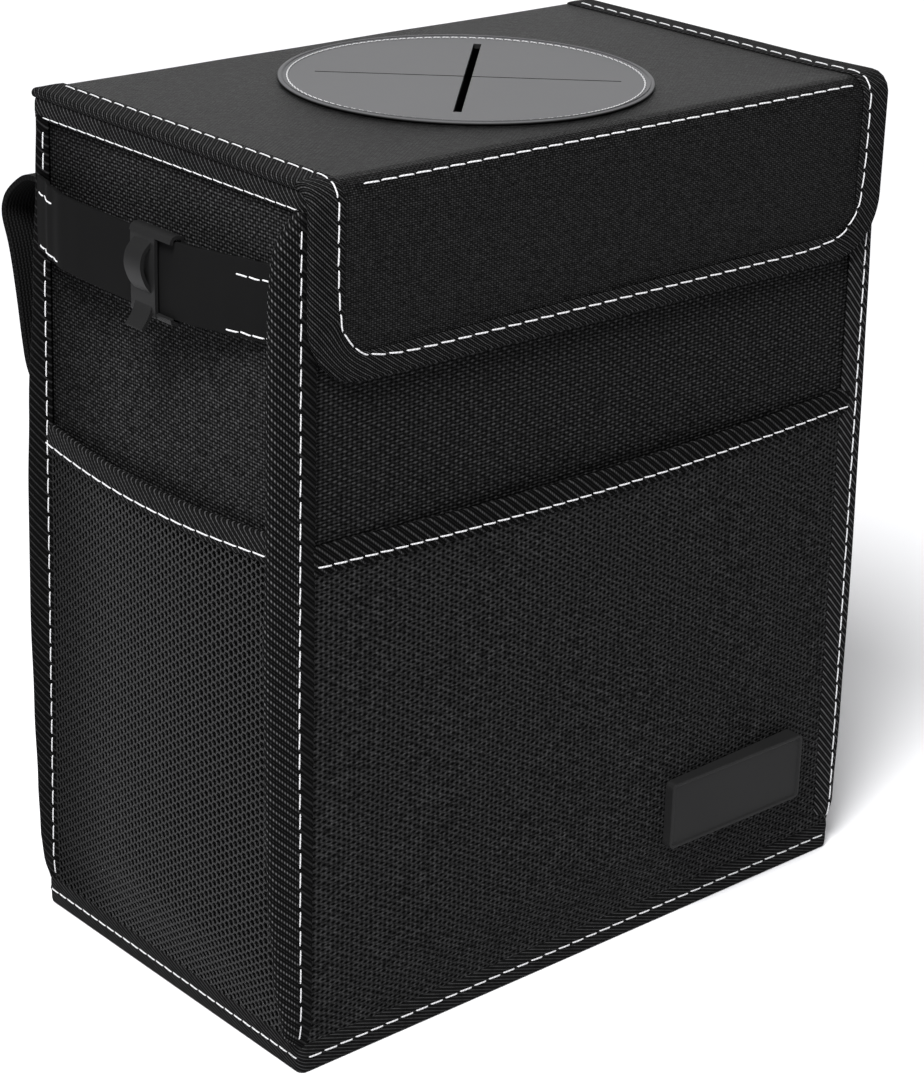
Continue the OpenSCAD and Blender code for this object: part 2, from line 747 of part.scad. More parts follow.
front_panel();
back_panel();
left_side_panel();
right_side_panel();
base_panel();
front_board();
back_board();
left_side_board();
right_side_board();
base_board();
inner_liner();
front_left_binding();
front_right_binding();
back_left_binding();
back_right_binding();
base_binding();
rim_binding();
front_pocket();
front_pocket_binding();
left_mesh_pocket();
left_mesh_binding();
right_mesh_pocket();
right_mesh_binding();
left_strap();
left_hook();
right_strap();
right_hook();
back_left_loop();
back_right_loop();
front_label();
loop_fastener();
lid_cover();
lid_board();
lid_left_binding();
lid_right_binding();
slot_disc();
flap_cover();
flap_board();
flap_binding();
hook_fastener();
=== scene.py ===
import bpy
import bmesh
import math
from mathutils import Matrix, Vector, noise


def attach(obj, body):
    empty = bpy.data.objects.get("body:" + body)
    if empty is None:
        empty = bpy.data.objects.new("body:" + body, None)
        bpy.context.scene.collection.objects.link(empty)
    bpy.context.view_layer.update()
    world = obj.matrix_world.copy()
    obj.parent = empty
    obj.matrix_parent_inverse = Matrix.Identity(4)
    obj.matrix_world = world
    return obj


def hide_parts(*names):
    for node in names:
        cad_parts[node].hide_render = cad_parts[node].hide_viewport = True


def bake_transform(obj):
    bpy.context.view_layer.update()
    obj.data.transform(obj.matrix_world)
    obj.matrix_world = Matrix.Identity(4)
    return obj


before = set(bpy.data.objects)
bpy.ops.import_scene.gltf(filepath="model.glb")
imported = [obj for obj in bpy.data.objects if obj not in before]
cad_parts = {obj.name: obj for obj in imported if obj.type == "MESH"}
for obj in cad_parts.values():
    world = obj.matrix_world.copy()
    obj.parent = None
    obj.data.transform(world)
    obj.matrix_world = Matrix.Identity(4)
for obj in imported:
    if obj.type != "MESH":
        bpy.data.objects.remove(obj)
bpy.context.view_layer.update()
scene = bpy.context.scene
unit = 0.001  # all settings are in millimetres, the meshes in metres
print("frame loaded:", len(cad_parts), "nodes")

shell = {"halfWidth": 122.5, "halfDepth": 70.0, "rim": 291.6, "flare": 1.6, "taper": 3.1,
         "clothThick": 0.8, "tapeThick": 0.7, "ripple": 0.22}


def ease(t):
    return (1 - math.cos(math.pi * min(max(t, 0.0), 1.0))) / 2


def between(table, at):
    # smooth value from a table of (place, value)
    if at <= table[0][0]:
        return table[0][1]
    for (a, va), (b, vb) in zip(table, table[1:]):
        if at <= b:
            return va + (vb - va) * ease((at - a) / (b - a))
    return table[-1][1]


def lean(point):
    # the walls stand a little wider at the base than at the rim
    x, y, z = point
    k = shell["flare"] - shell["taper"] * z / shell["rim"]
    return Vector((x * (1 + k / shell["halfWidth"]), y * (1 + k / shell["halfDepth"]), z))


def wall(side, along, z, off):
    # a point on one of the four walls, off it by off
    w, d = shell["halfWidth"] + off, shell["halfDepth"] + off
    flat = {"front": (along, -d, z), "back": (along, d, z),
            "left": (-w, along, z), "right": (w, along, z)}[side]
    return lean(flat)


outward = {"front": Vector((0, -1, 0)), "back": Vector((0, 1, 0)),
           "left": Vector((-1, 0, 0)), "right": Vector((1, 0, 0))}


# materials

class Finish:
    # a material and the few node calls that the finishes share
    def __init__(self, name):
        self.material = bpy.data.materials.new(name)
        self.material.use_nodes = True
        self.tree = self.material.node_tree
        self.shader = self.tree.nodes["Principled BSDF"]

    def node(self, kind):
        return self.tree.nodes.new(kind)

    def link(self, source, target):
        self.tree.links.new(source, target)

    def calc(self, operation, a, b=0.0, c=0.0):
        made = self.node("ShaderNodeMath")
        made.operation = operation
        for place, value in enumerate((a, b, c)):
            if isinstance(value, (int, float)):
                made.inputs[place].default_value = value
            else:
                self.link(value, made.inputs[place])
        return made.outputs[0]

    def uv(self):
        split = self.node("ShaderNodeSeparateXYZ")
        self.link(self.node("ShaderNodeTexCoord").outputs["UV"], split.inputs[0])
        return split.outputs[0], split.outputs[1]

    def wave(self, phase, sharp=1.0):
        # 0 to 1 once per unit of phase, narrower crests for a higher sharp
        turn = self.calc("COSINE", self.calc("MULTIPLY", phase, 2 * math.pi))
        return self.calc("POWER", self.calc("MULTIPLY_ADD", turn, 0.499, 0.501), sharp)

    def noiseOf(self, scale, detail=2.0, rough=0.5, stretch=(1, 1, 1)):
        mapping = self.node("ShaderNodeMapping")
        mapping.inputs["Scale"].default_value = stretch
        self.link(self.node("ShaderNodeTexCoord").outputs["Object"], mapping.inputs["Vector"])
        made = self.node("ShaderNodeTexNoise")
        made.inputs["Scale"].default_value = scale
        made.inputs["Detail"].default_value = detail
        made.inputs["Roughness"].default_value = rough
        self.link(mapping.outputs[0], made.inputs["Vector"])
        return made.outputs[0]

    def ramp(self, source, stops):
        made = self.node("ShaderNodeValToRGB")
        elements = made.color_ramp.elements
        while len(elements) < len(stops):
            elements.new(0.5)
        for element, (place, tone) in zip(elements, stops):
            element.position = place
            element.color = (tone, tone, tone * 1.02, 1)
        self.link(source, made.inputs[0])
        return made.outputs[0]

    def paintShade(self, colour, paintedShadeAxes):
        # painted shade: darkens a colour along axes of the object: each (axis, start in m, end in m, share
        # left)
        for axis, start, end, left in paintedShadeAxes or ():
            split = self.node("ShaderNodeSeparateXYZ")
            self.link(self.node("ShaderNodeTexCoord").outputs["Object"], split.inputs[0])
            spread = self.node("ShaderNodeMapRange")
            spread.interpolation_type = "SMOOTHSTEP"
            for place, value in enumerate((start, end, 1.0, left), start=1):
                spread.inputs[place].default_value = value
            self.link(split.outputs[axis], spread.inputs[0])
            colour = self.times(colour, spread.outputs[0])
        return colour

    def times(self, colour, share):
        mixed = self.node("ShaderNodeMix")
        mixed.data_type, mixed.blend_type = "RGBA", "MULTIPLY"
        mixed.inputs["Factor"].default_value = 1.0
        self.link(colour, mixed.inputs["A"])
        self.link(share, mixed.inputs["B"])
        return mixed.outputs["Result"]

    def bump(self, height, strength, distance):
        made = self.node("ShaderNodeBump")
        made.inputs["Strength"].default_value = strength
        made.inputs["Distance"].default_value = distance * unit
        self.link(height, made.inputs["Height"])
        self.link(made.outputs[0], self.shader.inputs["Normal"])

    def surface(self, colour, rough, specular):
        self.link(colour, self.shader.inputs["Base Color"])
        self.shader.inputs["Roughness"].default_value = rough
        self.shader.inputs["Specular IOR Level"].default_value = specular
        return self.material


def shades(dark, light):
    # five even steps between two screen tones (0 to 255), as the albedo stops of a ramp
    out = []
    for k in range(5):
        tone = (dark + (light - dark) * k / 4) / 255
        out.append((k / 4, tone / 12.92 if tone < 0.04 else ((tone + 0.055) / 1.055) ** 2.4))
    return out


def weaveFinish(name, column, row, weights, tones, rough=0.85, specular=0.02, strength=0.6, deep=0.35,
                paintedShadeAxes=None):
    # plain weave in mm: weights of the staggered crossings, of the columns and of the rows
    f = Finish(name)
    u, v = f.uv()
    wander = f.calc("MULTIPLY", f.calc("SUBTRACT", f.noiseOf(90, 2), 0.5), 0.9)
    u, v = f.calc("ADD", u, wander), f.calc("ADD", v, wander)
    cross = f.calc("MULTIPLY", f.calc("SINE", f.calc("MULTIPLY", u, math.pi / column)),
                   f.calc("SINE", f.calc("MULTIPLY", v, math.pi / row)))
    columns = f.calc("COSINE", f.calc("MULTIPLY", u, 2 * math.pi / column))
    rows = f.calc("COSINE", f.calc("MULTIPLY", v, 2 * math.pi / row))
    span = 2 * sum(abs(w) for w in weights)
    height = f.calc("MULTIPLY_ADD", cross, weights[0] / span, 0.5)
    height = f.calc("MULTIPLY_ADD", columns, weights[1] / span, height)
    height = f.calc("MULTIPLY_ADD", rows, weights[2] / span, height)
    uneven = f.noiseOf(520, 2, 0.7, (1, 1, 2.2))  # threads lie uneven, longer along the rows
    height = f.calc("MULTIPLY", height, f.calc("MULTIPLY_ADD", uneven, 1.9, 0.05))
    f.bump(height, strength, deep)
    # painted shade: where axes are given, the colour darkens along them
    return f.surface(f.paintShade(f.ramp(height, tones), paintedShadeAxes), rough, specular)


def twillFinish(name, tones, rib, beads=(0, 0), dotted=0.0, sharp=4.0, second=0.35, plainFrom=None,
                rough=0.8, specular=0.02, strength=0.6):
    # ribbed tape: rib and beads are cycles per mm; past plainFrom the ribs carry no beads
    f = Finish(name)
    u, v = f.uv()

    def phase(cycles, times=1):
        return f.calc("MULTIPLY_ADD", u, cycles[0] * times, f.calc("MULTIPLY", v, cycles[1] * times))

    ridge = f.calc("MAXIMUM", f.wave(phase(rib), sharp),
                   f.calc("MULTIPLY", f.wave(phase(rib, 2), sharp), second))
    if dotted:
        plain = 0.0
        if plainFrom is not None:
            plain = f.calc("MULTIPLY_ADD", u, 2.0, 0.5 - 2 * plainFrom)
            plain = f.calc("MINIMUM", f.calc("MAXIMUM", plain, 0.0), 1.0)
        keep = f.calc("MULTIPLY", f.calc("SUBTRACT", 1.0, plain), dotted)
        bead = f.calc("SUBTRACT", 1.0, f.calc("MULTIPLY", keep, f.calc("SUBTRACT", 1.0,
                                                                         f.wave(phase(beads), 1.5))))
        dim = f.calc("MULTIPLY_ADD", plain, -0.7, 1.0)
        ridge = f.calc("MULTIPLY", ridge, f.calc("MULTIPLY", bead, dim))
    height = f.calc("MULTIPLY", ridge, f.calc("MULTIPLY_ADD", f.noiseOf(420, 2), 0.9, 0.55))
    f.bump(height, strength, 0.35)
    return f.surface(f.ramp(height, tones), rough, specular)


def plainFinish(name, tone, spread, grain, rough, specular=0.4, strength=0.15, sides=1.0):
    # smooth plastics, rubber and board: faint clouds and fine grain; sides paints shade on upright faces,
    # darkening them
    f = Finish(name)
    colour = f.ramp(f.noiseOf(25, 3), [(0.3, tone * (1 - spread)), (0.7, tone * (1 + spread))])
    # painted shade: upright faces get a darker colour, down to the share sides
    if sides < 1:
        split = f.node("ShaderNodeSeparateXYZ")
        f.link(f.node("ShaderNodeTexCoord").outputs["Normal"], split.inputs[0])
        colour = f.times(colour, f.ramp(split.outputs[2], [(0.35, sides), (0.9, 1.0)]))
    f.bump(f.noiseOf(grain, 3, 0.6), strength, 0.1)
    return f.surface(colour, rough, specular)


def ribFinish(name, pitch, tones, rough=0.75, specular=0.04, paintedShadeAxes=None):
    # webbing and knit: fine ribs along the band with a small zigzag of the weft
    f = Finish(name)
    u, v = f.uv()
    zig = f.calc("MULTIPLY", f.calc("PINGPONG", v, 0.9), 0.35)
    rib = f.wave(f.calc("MULTIPLY", f.calc("ADD", u, zig), 1 / pitch))
    weft = f.calc("MULTIPLY_ADD", f.wave(f.calc("MULTIPLY", v, 1 / 0.9)), 0.4, 0.6)
    height = f.calc("MULTIPLY", rib, weft)
    f.bump(height, 0.6, 0.25)
    # painted shade: where axes are given, the colour darkens along them
    return f.surface(f.paintShade(f.ramp(height, tones), paintedShadeAxes), rough, specular)


def threadFinish(name, low, high):
    # sewing thread, twisted along its length
    f = Finish(name)
    u, v = f.uv()
    twist = f.wave(f.calc("ADD", u, f.calc("MULTIPLY", v, 1 / 0.9)))
    f.bump(twist, 0.25, 0.15)
    return f.surface(f.ramp(twist, [(0.0, low), (0.7, high)]), 0.7, 0.2)


dashes = (0.36, -0.24, -0.36)  # bright dashes with dark holes at the corners of the cells
holes = (0.5, 0.25, 0.2)  # dark holes on a mid ground

rearPaintedShade = (1, 0.02, 0.066, 0.45)  # painted shade: the sides darken towards the back seam
netShade = (2, 0.186, 0.166, 0.3)  # and lie in the shade behind the mesh

finishes = {
    "frontWeave": weaveFinish("frontWeave", 1.87, 1.09, dashes, shades(-14, 62)),
    "pocketWeave": weaveFinish("pocketWeave", 1.87, 1.09, holes, shades(-16, 68)),
    # the side cloth carries painted shade towards the back seam and behind the mesh
    "sideWeave": weaveFinish("sideWeave", 1.285, 1.09, dashes, shades(-18, 74),
                             paintedShadeAxes=[rearPaintedShade, netShade]),
    "lidWeave": weaveFinish("lidWeave", 1.0, 0.70, dashes, shades(-18, 58), rough=0.5, specular=0.045,
                            strength=1.0, deep=0.8),
    "finTwill": twillFinish("finTwill", shades(6, 110), (0.317, 0.333), (0.952, 0.0), 0.85, plainFrom=0.0),
    "foldTwill": twillFinish("foldTwill", shades(7, 80), (0.40, 0.336)),
    "backTwill": twillFinish("backTwill", shades(3, 40), (0.10, 0.339), sharp=6.0, second=0.2),
    "hemTwill": twillFinish("hemTwill", shades(4, 70), (0.278, 0.333), (1.1, 0.0), 0.5, second=0.3),
    "netTwill": twillFinish("netTwill", shades(7, 84), (-0.389, 0.389), (1.1, 0.0), 0.4),
    "rimTwill": twillFinish("rimTwill", shades(7, 84), (0.444, 0.444), (1.2, 0.0), 0.4),
    "baseTwill": twillFinish("baseTwill", shades(4, 56), (0.278, 0.778), sharp=2.5),
    "lidTwill": twillFinish("lidTwill", shades(5, 78), (0.40, 0.42), (1.2, 0.0), 0.4,
                            second=0.7, sharp=5.0),
    "webbing": ribFinish("webbing", 1.3, shades(4, 34)),
    # the net carries painted shade towards the back seam
    "knit": ribFinish("knit", 0.5, shades(38, 80), rough=0.85, paintedShadeAxes=[rearPaintedShade]),
    "band": plainFinish("band", 0.0066, 0.08, 900, 0.7, 0.02, 0.1),
    "hookPlastic": plainFinish("hookPlastic", 0.011, 0.1, 1400, 0.5, 0.12, 0.12),
    "labelRubber": plainFinish("labelRubber", 0.012, 0.08, 1500, 0.6, 0.12, 0.2),
    # the disc's upright rim wall carries painted shade
    "discRubber": plainFinish("discRubber", 0.091, 0.015, 1600, 0.7, 0.2, 0.06, sides=0.12),
    "board": plainFinish("board", 0.28, 0.08, 300, 0.6, 0.4, 0.2),
    "linerFilm": plainFinish("linerFilm", 0.42, 0.05, 160, 0.35, 0.5, 0.35),
    "pile": plainFinish("pile", 0.012, 0.3, 2600, 0.9, 0.1, 0.9),
    "thread": threadFinish("sewingThread", 0.50, 0.74),
    "discThread": threadFinish("discThread", 0.30, 0.62),
}
print("finishes ready:", len(finishes))


# builders

def finishPiece(bm, name, finish, body, slot, centre=None, thick=0.0, bevel=0.0, weld=False,
                blendTo=None, mid=False, even=True, flip=False):
    # turns the bmesh into an object at the origin, faces outwards; it rides on its body, or with a blend given
    # stays fixed in place
    if weld:
        bmesh.ops.remove_doubles(bm, verts=bm.verts, dist=0.00002)
    bm.normal_update()
    if centre is not None:
        middle = Vector(centre) * unit
        lookOut = sum(f.normal.dot(f.calc_center_median() - middle) * f.calc_area() for f in bm.faces)
        flip = lookOut < 0
    if flip:
        bmesh.ops.reverse_faces(bm, faces=bm.faces)
    for face in bm.faces:
        face.smooth = True
    for edge in bm.edges:
        edge.smooth = not edge.is_boundary  # crisp rims once the sheet has its thickness
    mesh = bpy.data.meshes.new(name)
    bm.to_mesh(mesh)
    bm.free()
    piece = bpy.data.objects.new(name, mesh)
    scene.collection.objects.link(piece)
    mesh.materials.append(finishes[finish])
    if thick:
        solid = piece.modifiers.new("thickness", "SOLIDIFY")
        solid.thickness = thick * unit
        solid.offset = 0 if mid else -1
        solid.use_even_offset = even and not mid
    if bevel:
        edge = piece.modifiers.new("softEdge", "BEVEL")
        edge.width = bevel * unit
        edge.segments = 3
        edge.limit_method = "ANGLE"
        edge.angle_limit = math.radians(40)
        edge.harden_normals = True
    if blendTo:
        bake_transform(piece)
    else:
        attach(piece, body)
    return piece


def layGrid(bm, cells, place):
    # a grid whose points are put where place(u, w) says, with its pattern in mm as UV
    layer = bm.loops.layers.uv.get("UVMap") or bm.loops.layers.uv.new("UVMap")
    made = bmesh.ops.create_grid(bm, x_segments=cells[0], y_segments=cells[1], size=0.5)["verts"]
    pattern = {}
    for v in made:
        point, mark = place(v.co.x + 0.5, v.co.y + 0.5)
        pattern[v] = mark
        v.co = Vector(point) * unit
    for face in {f for v in made for f in v.link_faces}:
        for loop in face.loops:
            loop[layer].uv = pattern[loop.vert]


def makeSheet(name, cells, place, finish, body, slot, cut=None, **rest):
    bm = bmesh.new()
    layGrid(bm, cells, place)
    if cut:
        cut(bm)
    return finishPiece(bm, name, finish, body, slot, **rest)


def lengthsOf(points):
    total, out = 0.0, [0.0]
    for a, b in zip(points, points[1:]):
        total += (Vector(b) - Vector(a)).length
        out.append(total)
    return out


def acrossOf(profile):
    return lengthsOf([(a, b, 0) for a, b in profile])


def smoothLine(points, parts):
    # Catmull-Rom curve through the points
    out = []
    ends = [points[0]] + list(points) + [points[-1]]
    for i in range(len(points) - 1):
        p0, p1, p2, p3 = (Vector(p) for p in ends[i:i + 4])
        for k in range(parts):
            t = k / parts
            out.append(0.5 * (2 * p1 + (p2 - p0) * t + (2 * p0 - 5 * p1 + 4 * p2 - p3) * t * t
                              + (3 * p1 - p0 - 3 * p2 + p3) * t ** 3))
    out.append(Vector(points[-1]))
    return out


sewing = {"thread": 0.275, "pitch": 6.9, "length": 6.0, "sides": 6, "rings": 8, "sink": 0.4, "slant": 0.5}
stitchStore = {}


def sew(group, path, pitch=None, length=None, thread=None):
    # lays stitches along a path of (point, normal)
    pitch, length = pitch or sewing["pitch"], length or sewing["length"]
    thread = thread or sewing["thread"]
    bm = stitchStore.setdefault(group, bmesh.new())
    points = [Vector(p) for p, n in path]
    reach = lengthsOf(points)
    total = reach[-1]
    count = max(1, int((total + pitch - length) / pitch))
    spare = (total - (count * pitch - (pitch - length))) / 2

    def at(s):
        s = min(max(s, 0.0), total)
        for i in range(len(reach) - 1):
            if s <= reach[i + 1] or i == len(reach) - 2:
                step = reach[i + 1] - reach[i] or 1.0
                t = (s - reach[i]) / step
                return (points[i].lerp(points[i + 1], t), (points[i + 1] - points[i]).normalized(),
                        Vector(path[i][1]).lerp(Vector(path[i + 1][1]), t).normalized())

    for k in range(count):
        start = spare + k * pitch
        slant = sewing["slant"] + 0.3 * noise.noise(Vector((start * 0.37, total, k)))

        def place(u, w, start=start, slant=slant):
            t = math.copysign(abs(w * 2 - 1) ** 0.6, w - 0.5)
            middle, tangent, normal = at(start + (t + 1) / 2 * length)
            side = tangent.cross(normal).normalized()
            dip = abs(t) ** 9
            radius = thread * (1 - 0.5 * dip)
            lift = thread * 0.7 - sewing["sink"] * dip
            angle = u * 2 * math.pi
            point = (middle + normal * (lift + radius * 0.8 * math.cos(angle))
                     + side * (radius * math.sin(angle) + slant * t * thread))
            return point, (u, w * length)

        layGrid(bm, (sewing["sides"], sewing["rings"]), place)


# camera, light and floor

view = {"azimuth": -41.572, "elevation": 22.393, "roll": 1.592, "shift": (-5.174, -121.617, -1055.284),
        "focal": 2878.985, "frameHigh": 1080, "sensor": 36.0}


def makeCamera():
    a, e, r = (math.radians(view[k]) for k in ("azimuth", "elevation", "roll"))
    back = Vector((math.sin(a) * math.cos(e), -math.cos(a) * math.cos(e), math.sin(e)))
    right = Vector((0, 0, 1)).cross(back).normalized()
    up = back.cross(right)
    rolled = (right * math.cos(r) + up * math.sin(r), up * math.cos(r) - right * math.sin(r), back)
    place = -sum((axis * s for axis, s in zip(rolled, view["shift"])), Vector()) * unit
    data = bpy.data.cameras.new("photoCamera")
    data.sensor_width = view["sensor"]
    data.lens = view["focal"] / view["frameHigh"] * view["sensor"]
    data.clip_start, data.clip_end = 0.05, 20
    camera = bpy.data.objects.new("photoCamera", data)
    scene.collection.objects.link(camera)
    turn = Matrix(rolled).transposed().to_4x4()
    camera.matrix_world = Matrix.Translation(place) @ turn
    scene.camera = camera


studio = {
    "sky": 0.28,
    "lights": [("keyLight", (-1.065, -0.615, 1.824), (0, 0, 0.1), 0.85, 66.0),
               ("backLight", (1.3, 1.5, 1.0), (0, 0, 0.25), 2.0, 19.0)],
}


def makeStudio():
    world = bpy.data.worlds.new("studio")
    scene.world = world
    world.use_nodes = True
    world.node_tree.nodes["Background"].inputs[0].default_value = (1, 1, 1, 1)
    world.node_tree.nodes["Background"].inputs[1].default_value = studio["sky"]
    for name, place, aim, size, power in studio["lights"]:
        data = bpy.data.lights.new(name, "AREA")
        data.shape = "DISK"
        data.size = size
        data.energy = power
        lamp = bpy.data.objects.new(name, data)
        scene.collection.objects.link(lamp)
        lamp.location = place
        lamp.rotation_euler = (Vector(aim) - Vector(place)).to_track_quat("-Z", "Y").to_euler()
    bm = bmesh.new()
    bmesh.ops.create_grid(bm, x_segments=4, y_segments=4, size=6)
    mesh = bpy.data.meshes.new("floor")
    bm.to_mesh(mesh)
    bm.free()
    floor = bpy.data.objects.new("floor", mesh)
    scene.collection.objects.link(floor)
    f = Finish("floorPaper")
    mesh.materials.append(f.surface(f.ramp(f.noiseOf(3, 2), [(0.3, 0.91), (0.7, 0.93)]), 0.9, 0.1))
    scene.view_settings.view_transform = "Standard"


makeCamera()
makeStudio()
print("camera and studio ready")


# wall cloth

walls = {"low": 2.0, "top": 289.5, "cells": (24, 30), "frontFlat": (0.245, 0.2875), "sideFlat": (0.14, 0.2875)}


def clothWall(side):
    half = shell["halfWidth"] if side in ("front", "back") else shell["halfDepth"]

    def place(u, w):
        along = half * (2 * u - 1)
        z = walls["low"] + (walls["top"] - walls["low"]) * w
        edge = ease(u * 6) * ease((1 - u) * 6)
        ripple = shell["ripple"] * edge * noise.noise(Vector((along * 0.02, z * 0.02, half)))
        return wall(side, along, z, ripple), (along, z)

    return place


for side, node in (("front", "front_panel"), ("back", "back_panel"),
                   ("left", "left_side_panel"), ("right", "right_side_panel")):
    weave = "frontWeave" if side in ("front", "back") else "sideWeave"
    piece = makeSheet(side + "Cloth", walls["cells"], clothWall(side), weave, "bin", "outer_cloth",
                      centre=(0, 0, 150), thick=shell["clothThick"])
    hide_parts(node)


def leanedCopy(node, finish, slot):
    # boards and liner lean with the walls
    bm = bmesh.new()
    bm.from_mesh(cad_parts[node].data)
    bmesh.ops.remove_doubles(bm, verts=bm.verts, dist=0.000001)
    for v in bm.verts:
        v.co = lean(v.co / unit) * unit
    bmesh.ops.dissolve_limit(bm, angle_limit=0.01, verts=bm.verts, edges=bm.edges)
    piece = finishPiece(bm, node.replace("_", " ").title().replace(" ", ""), finish, "bin", slot,
                        bevel=0.2)
    for face in piece.data.polygons:
        face.use_smooth = False
    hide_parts(node)


for node in ("front_board", "back_board", "left_side_board", "right_side_board"):
    leanedCopy(node, "board", "stiffening_board")
leanedCopy("inner_liner", "linerFilm", "liner_film")
print("walls ready")


# bound corner seams

seams = {
    "nearReach": [(8, 0.5), (10.5, 1.9), (12.5, 4.4), (16, 7.3), (40, 11.0), (69, 13.3), (110, 14.4),
                  (155, 15.2), (176, 14.4), (230, 14.2), (264, 13.7), (276, 12.4), (283, 8.6), (287, 3.6)],
    "backReach": [(8, 0.5), (10, 1.9), (13, 3.9), (17.5, 5.1), (27, 6.7), (45, 7.8), (74, 9.4),
                  (111, 10.8), (155, 10.8), (185, 9.6), (230, 6.0), (267, 3.4), (284, 2.6)],
    "foldReach": [(9, 8.0), (40, 11.0), (230, 12.0), (284, 9.0)],
    "foldBulge": [(9, 0.0), (20, 0.3), (55, 1.5), (112, 2.3), (170, 2.0), (215, 1.5), (245, 1.0)],
    "pinch": [(9, 0.35), (20, 1.0)],
    "nearStitch": [(17, 1.8), (65, 2.4), (134, 3.2), (282, 3.6)],
    "low": 9.3, "high": 286.6, "steps": 60, "front": 1.7, "rear": -2.5,
}


def seamProfile(inner, reach, pinch):
    # across a bound seam: face leg, rounded edge, rear leg, as (outward, towards the face)
    front, rear = seams["front"] * pinch, seams["rear"] * pinch
    middle, half = (front + rear) / 2, (front - rear) / 2
    out = [(-inner, front - 0.5), (-inner + 0.8, front)]
    straight = reach - half
    out += [(-inner + 0.8 + (straight + inner - 0.8) * k / 4, front + 0.25 * math.sin(math.pi * k / 4))
            for k in range(1, 4)]
    out += [(straight + half * math.sin(math.pi * k / 6), middle + half * math.cos(math.pi * k / 6))
            for k in range(7)]
    out += [(straight + (min(0.4, straight) - straight) * k / 3, rear) for k in range(1, 4)]
    return out


def seamPoint(corner, out, off, z):
    w, d = shell["halfWidth"], shell["halfDepth"]
    flat = {"frontLeft": (-w - out, -d - off, z), "backLeft": (-w - off, d + out, z),
            "backRight": (w + off, d + out, z)}[corner]
    return lean(flat)


def boundSeam(corner, name, node, inner, reachTable, finish, zero):
    def place(u, w):
        z = seams["low"] + (seams["high"] - seams["low"]) * w ** 1.25
        profile = seamProfile(inner, between(reachTable, z), between(seams["pinch"], z))
        i = round(u * (len(profile) - 1))
        return seamPoint(corner, profile[i][0], profile[i][1], z), (zero - acrossOf(profile)[i], z)

    count = len(seamProfile(inner, 10, 1)) - 1
    w, d = shell["halfWidth"], shell["halfDepth"]
    centre = {"frontLeft": (-w - 5, -d, 140), "backLeft": (-w, d + 4, 140), "backRight": (w, d + 4, 140)}
    piece = makeSheet(name, (count, seams["steps"]), place, finish, "bin", "binding_tape",
                      centre=centre[corner], thick=shell["tapeThick"])
    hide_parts(node)


boundSeam("frontLeft", "frontLeftBinding", "front_left_binding", 3.0, seams["nearReach"], "finTwill", 6.4)
boundSeam("backLeft", "backLeftBinding", "back_left_binding", 5.4, seams["backReach"], "backTwill", 0)
boundSeam("backRight", "backRightBinding", "back_right_binding", 5.4, seams["backReach"], "backTwill", 0)


def seamCore(corner, name, reachTable):
    # the cloth edges inside a bound seam
    def place(u, w):
        z = 18 + (seams["high"] - 18.6) * w
        reach = between(reachTable, z) - 1.6
        return seamPoint(corner, -1 + (reach + 1) * u, 0.6, z), (reach * u, z)

    w, d = shell["halfWidth"], shell["halfDepth"]
    centre = {"frontLeft": (-w - 5, 0, 140), "backLeft": (0, d + 4, 140), "backRight": (0, d + 4, 140)}
    makeSheet(name, (4, 24), place, "frontWeave", "bin", "outer_cloth", centre=centre[corner], thick=2.2)


seamCore("frontLeft", "frontLeftSeamCore", seams["nearReach"])
seamCore("backLeft", "backLeftSeamCore", seams["backReach"])
seamCore("backRight", "backRightSeamCore", seams["backReach"])


def foldedSeam():
    # the right front seam lies folded back against the side
    w, d = shell["halfWidth"], shell["halfDepth"]

    def profile(reach, bulge, pinch):
        x, y = w + 0.5 + bulge, -d + 0.9
        r = 2.6 * pinch
        out = [(w - 7.4, y - r + 0.5), (w - 6.6, y - r), (w - 3, y - r - 0.1), (x - 0.6, y - r)]
        out += [(x + r * math.sin(math.pi / 2 * k / 5), y - r * math.cos(math.pi / 2 * k / 5))
                for k in range(1, 6)]
        end, hem = y + reach - 2.4, 1.5
        out += [(x + r, y + (reach - 2.4) * k / 4) for k in range(1, 5)]
        out += [(x + r - hem + hem * math.cos(math.pi * k / 5), end + hem * math.sin(math.pi * k / 5))
                for k in range(1, 6)]
        return out

    def place(u, t):
        z = seams["low"] + (seams["high"] - seams["low"]) * t ** 1.25
        spots = profile(between(seams["foldReach"], z), between(seams["foldBulge"], z),
                        between(seams["pinch"], z))
        i = round(u * (len(spots) - 1))
        return lean((spots[i][0], spots[i][1], z)), (acrossOf(spots)[i], z)

    piece = makeSheet("frontRightBinding", (len(profile(10, 1, 1)) - 1, seams["steps"]), place, "foldTwill",
                      "bin", "binding_tape", centre=(w - 3, -d + 5, 140), thick=shell["tapeThick"])
    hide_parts("front_right_binding")
    line = []
    for k in range(61):
        z = 12 + 270 * k / 60
        spot = lean((w - 3, -d - 1.72 * between(seams["pinch"], z), z))
        spot.x = 120.8 + 3.4 * (1 - z / 290)
        line.append((spot, outward["front"]))
    sew("bin", line)


foldedSeam()


def seamStitches(corner, face, stretch):
    look = {"frontLeft": Vector((0, -1, 0)), "backLeft": Vector((-1, 0, 0)),
            "backRight": Vector((1, 0, 0))}[corner] * face
    line = []
    for k in range(61):
        z = stretch[0] + (stretch[1] - stretch[0]) * k / 60
        pinch = between(seams["pinch"], z)
        off = seams["front"] * pinch + 0.05 if face > 0 else seams["rear"] * pinch - 0.05
        out = between(seams["nearStitch"], z) if corner == "frontLeft" else -3.2 if face > 0 else 1.6
        line.append((seamPoint(corner, out, off, z), look))
    sew("bin", line)


for corner in ("frontLeft", "backLeft", "backRight"):
    seamStitches(corner, -1, (14, 281))
seamStitches("frontLeft", 1, (10.8, 284.5))
for corner in ("backLeft", "backRight"):
    seamStitches(corner, 1, (11, 241))
    seamStitches(corner, 1, (268, 283))
print("corner seams ready")


# base

